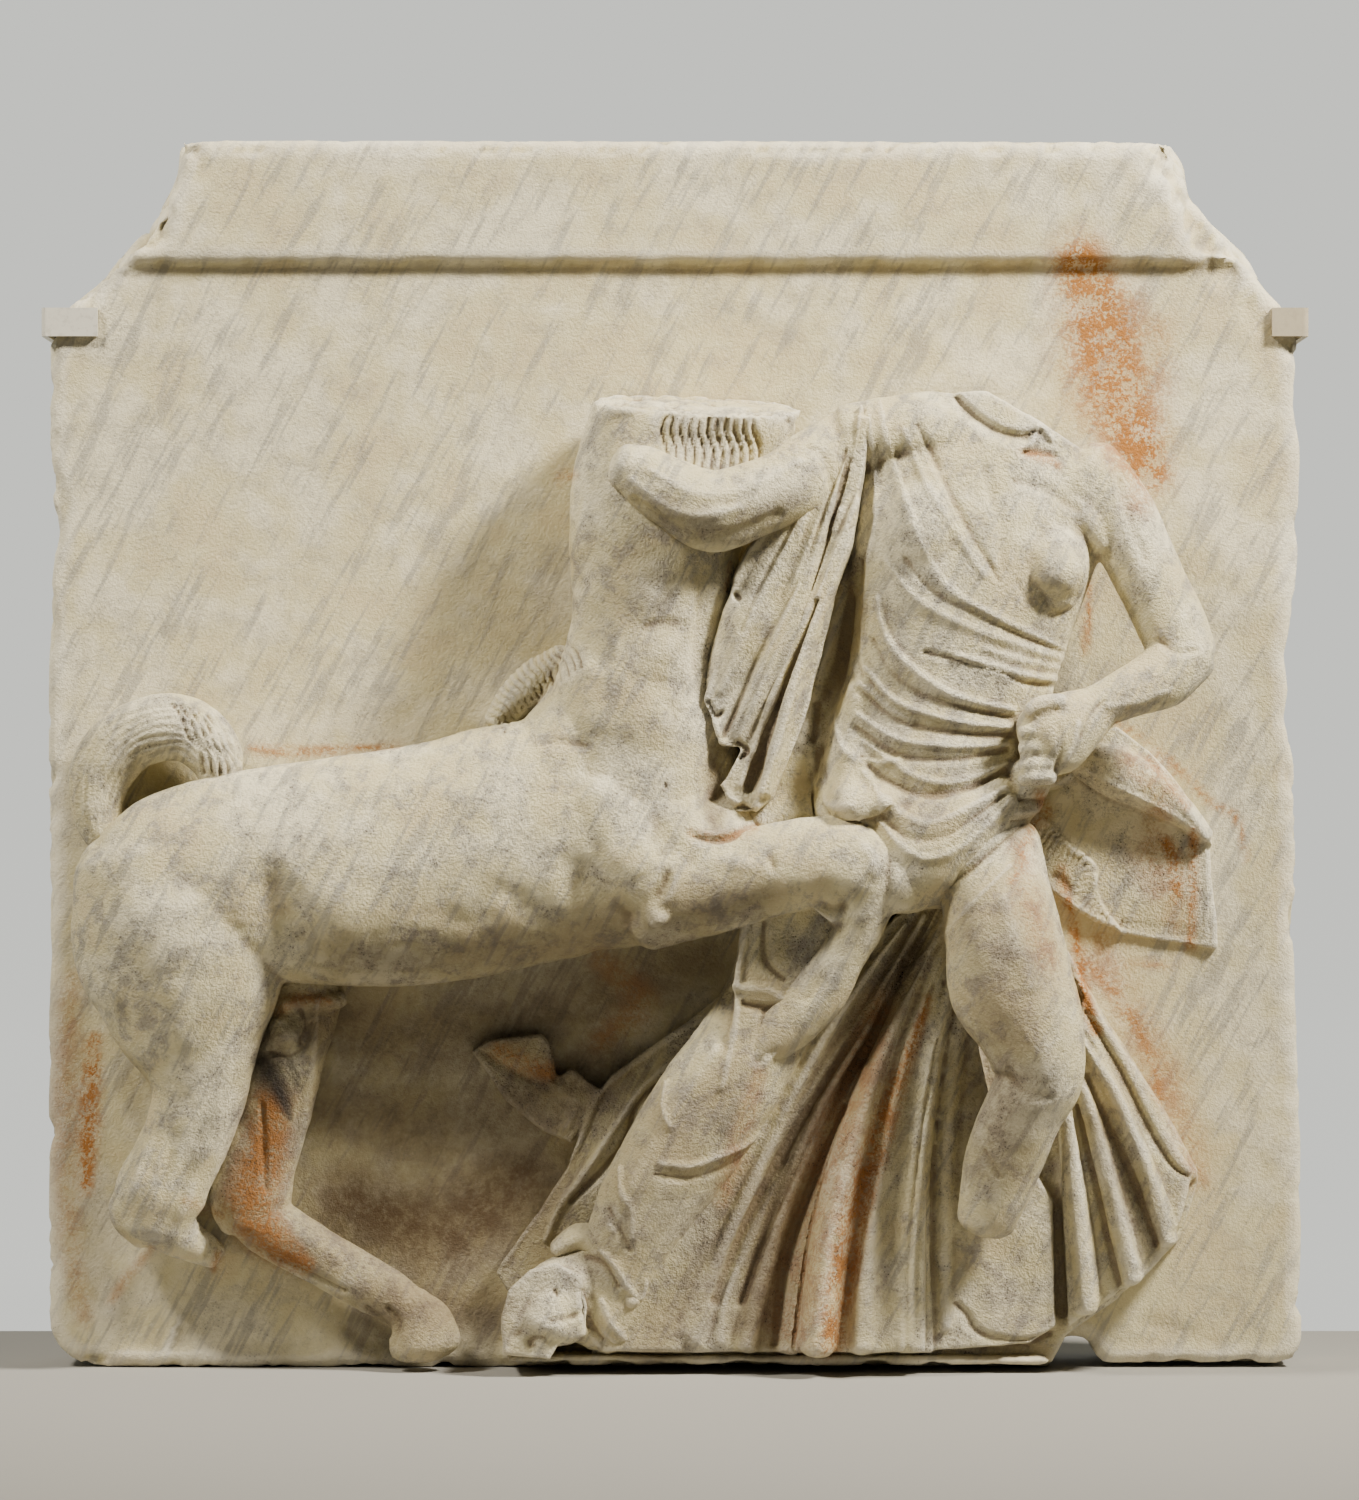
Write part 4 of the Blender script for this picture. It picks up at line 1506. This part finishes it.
# %% [markdown]
# ## Painted steel
#
# The two clips are bent from steel strap and painted: one off-white, one to match the stone. Paint hides
# the metal, so the finish isn't metallic, and small scuffs in it are a darker shade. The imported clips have
# the right shape already, so they only get the new finish. An image of scuffs could be painted for it, but
# a noise pattern needs no file.

# %% Paint the clips
SCUFFS = 8
PAINT_IOR = 1.5


def painted_steel(name, colour, roughness):
    material = bpy.data.materials.new(name)
    material.use_nodes = True
    tree = material.node_tree
    shader = tree.nodes["Principled BSDF"]
    spot = add_node(tree, "ShaderNodeTexCoord", output="Object")
    scuffs = add_node(tree, "ShaderNodeTexNoise", {
        "Vector": spot, "Scale": 1 / (SCUFFS * MM), "Detail": 5, "Roughness": GRAIN_ROUGHNESS})
    shade = coated(tree, srgb(colour), [("#8F8674", [(scuffs, 0.45, 0.7), 0.3])])
    tree.links.new(shade, shader.inputs["Base Color"])
    shader.inputs["IOR"].default_value = PAINT_IOR
    shader.inputs["Roughness"].default_value = roughness
    return material


clip_finishes = {
    "wall_clip_left": painted_steel("off-white painted steel", "#D8D4C6", 0.5),
    "wall_clip_right": painted_steel("stone-coloured painted steel", "#B3A88F", 0.6),
}
for node, finish in clip_finishes.items():
    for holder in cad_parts[node].material_slots:
        holder.material = finish
    print(node, "in", finish.name)


# %% [markdown]
# ## Floor and backdrop
#
# The panel stands on a pale floor. Further back the floor goes over into a backdrop with a glow of its own,
# as a cloth lit from behind has. It curves up far behind the panel, so that the panel's back can be seen as
# well. A plain box of walls could do, but it shows corners, and this way there are none behind the panel.

# %% Floor and backdrop
FLOOR_REACH = 15.0
FLOOR_DROP = 0.5 * MM
BACKDROP_START = BACK_Y + 0.3
BACKDROP_Y = 10.0
BACKDROP_TOP = 9.0
BACKDROP_BEND = 2.0
BEND_STEPS = 8
STAGE_ROUGHNESS = 0.9
STAGE_PAINTS = (
    ("pale floor paint", "#979590", "#979590", 0.0),
    ("pale lit cloth", "#000000", "#D3D4CE", 1.3),
)


def floor_and_backdrop():
    """Extrudes the line of the floor and the backdrop sideways, with its faces towards the panel."""
    curve = [(BACKDROP_Y - BACKDROP_BEND * (1 - math.sin(angle)), BACKDROP_BEND * (1 - math.cos(angle)))
             for angle in np.linspace(0, math.pi / 2, BEND_STEPS)]
    line = [(-FLOOR_REACH, 0.0), (BACKDROP_START, 0.0), *curve, (BACKDROP_Y, BACKDROP_TOP)]
    bm = bmesh.new()
    spots = [bm.verts.new((-FLOOR_REACH, y, z - FLOOR_DROP)) for y, z in line]
    edges = [bm.edges.new(pair) for pair in zip(spots, spots[1:])]
    grown = bmesh.ops.extrude_edge_only(bm, edges=edges)["geom"]
    far = [item for item in grown if isinstance(item, bmesh.types.BMVert)]
    bmesh.ops.translate(bm, verts=far, vec=(2 * FLOOR_REACH, 0, 0))
    bmesh.ops.recalc_face_normals(bm, faces=bm.faces)
    bmesh.ops.reverse_faces(bm, faces=bm.faces)
    for face in bm.faces:
        face.smooth = True
        face.material_index = int(face.calc_center_median().y > BACKDROP_START)
    mesh = bpy.data.meshes.new("sweep")
    bm.to_mesh(mesh)
    bm.free()
    for name, colour, lit_colour, glow in STAGE_PAINTS:
        paint = bpy.data.materials.new(name)
        paint.use_nodes = True
        shader = paint.node_tree.nodes["Principled BSDF"]
        shader.inputs["Base Color"].default_value = srgb(colour)
        shader.inputs["Roughness"].default_value = STAGE_ROUGHNESS
        shader.inputs["Emission Color"].default_value = srgb(lit_colour)
        shader.inputs["Emission Strength"].default_value = glow
        mesh.materials.append(paint)
    made = bpy.data.objects.new("sweep", mesh)
    bpy.context.scene.collection.objects.link(made)
    return made


floor = floor_and_backdrop()
print("floor and backdrop with", len(floor.data.polygons), "faces")


# %% [markdown]
# ## Light and camera
#
# Two soft lamps rake the panel from high on both sides, the right one stronger, so that every fold throws a
# soft shadow. A lamp at the front would be simpler, but it would flatten the carving. The camera stands at
# the distance for which the grid was drawn, and looks straight at the panel.

# %% Lamps
LAMP_SPREAD = math.radians(75)
LAMP_SIZE = 0.8
LAMP_COLOUR = "#FFF8EA"
LAMPS = (
    ("left key", (-3.0, -1.9, 4.2), (-0.1, 0, 0.8), 48),
    ("right key", (3.1, -1.8, 4.2), (0.1, 0, 0.8), 112),
)
AIR_COLOUR = "#DDE0E2"
AIR_LIGHT = 0.05

for name, spot, target, power in LAMPS:
    light = bpy.data.lights.new(name, "AREA")
    light.size = LAMP_SIZE
    light.energy = power
    light.spread = LAMP_SPREAD
    light.color = srgb(LAMP_COLOUR)[:3]
    holder = bpy.data.objects.new(name, light)
    holder.location = spot
    holder.rotation_euler = (Vector(target) - Vector(spot)).to_track_quat("-Z", "Y").to_euler()
    bpy.context.scene.collection.objects.link(holder)
    print(name, power, "W")

world = bpy.data.worlds.new("studio")
world.use_nodes = True
world.node_tree.nodes["Background"].inputs["Color"].default_value = srgb(AIR_COLOUR)
world.node_tree.nodes["Background"].inputs["Strength"].default_value = AIR_LIGHT
bpy.context.scene.world = world

# %% Camera
camera = bpy.data.cameras.new("camera")
camera.sensor_fit = "VERTICAL"
camera.lens = camera.sensor_height * EYE_DISTANCE / (PICTURE_ROWS * ROW)
eye = bpy.data.objects.new("camera", camera)
eye.location = ((EYE_COLUMN - CENTRE_COLUMN) * COLUMN, FACE_Y - EYE_DISTANCE, (BASE_ROW - EYE_ROW) * ROW)
eye.rotation_euler = (math.radians(90), 0, 0)
bpy.context.scene.collection.objects.link(eye)
bpy.context.scene.camera = eye
print("camera lens", round(camera.lens, 1), "mm")
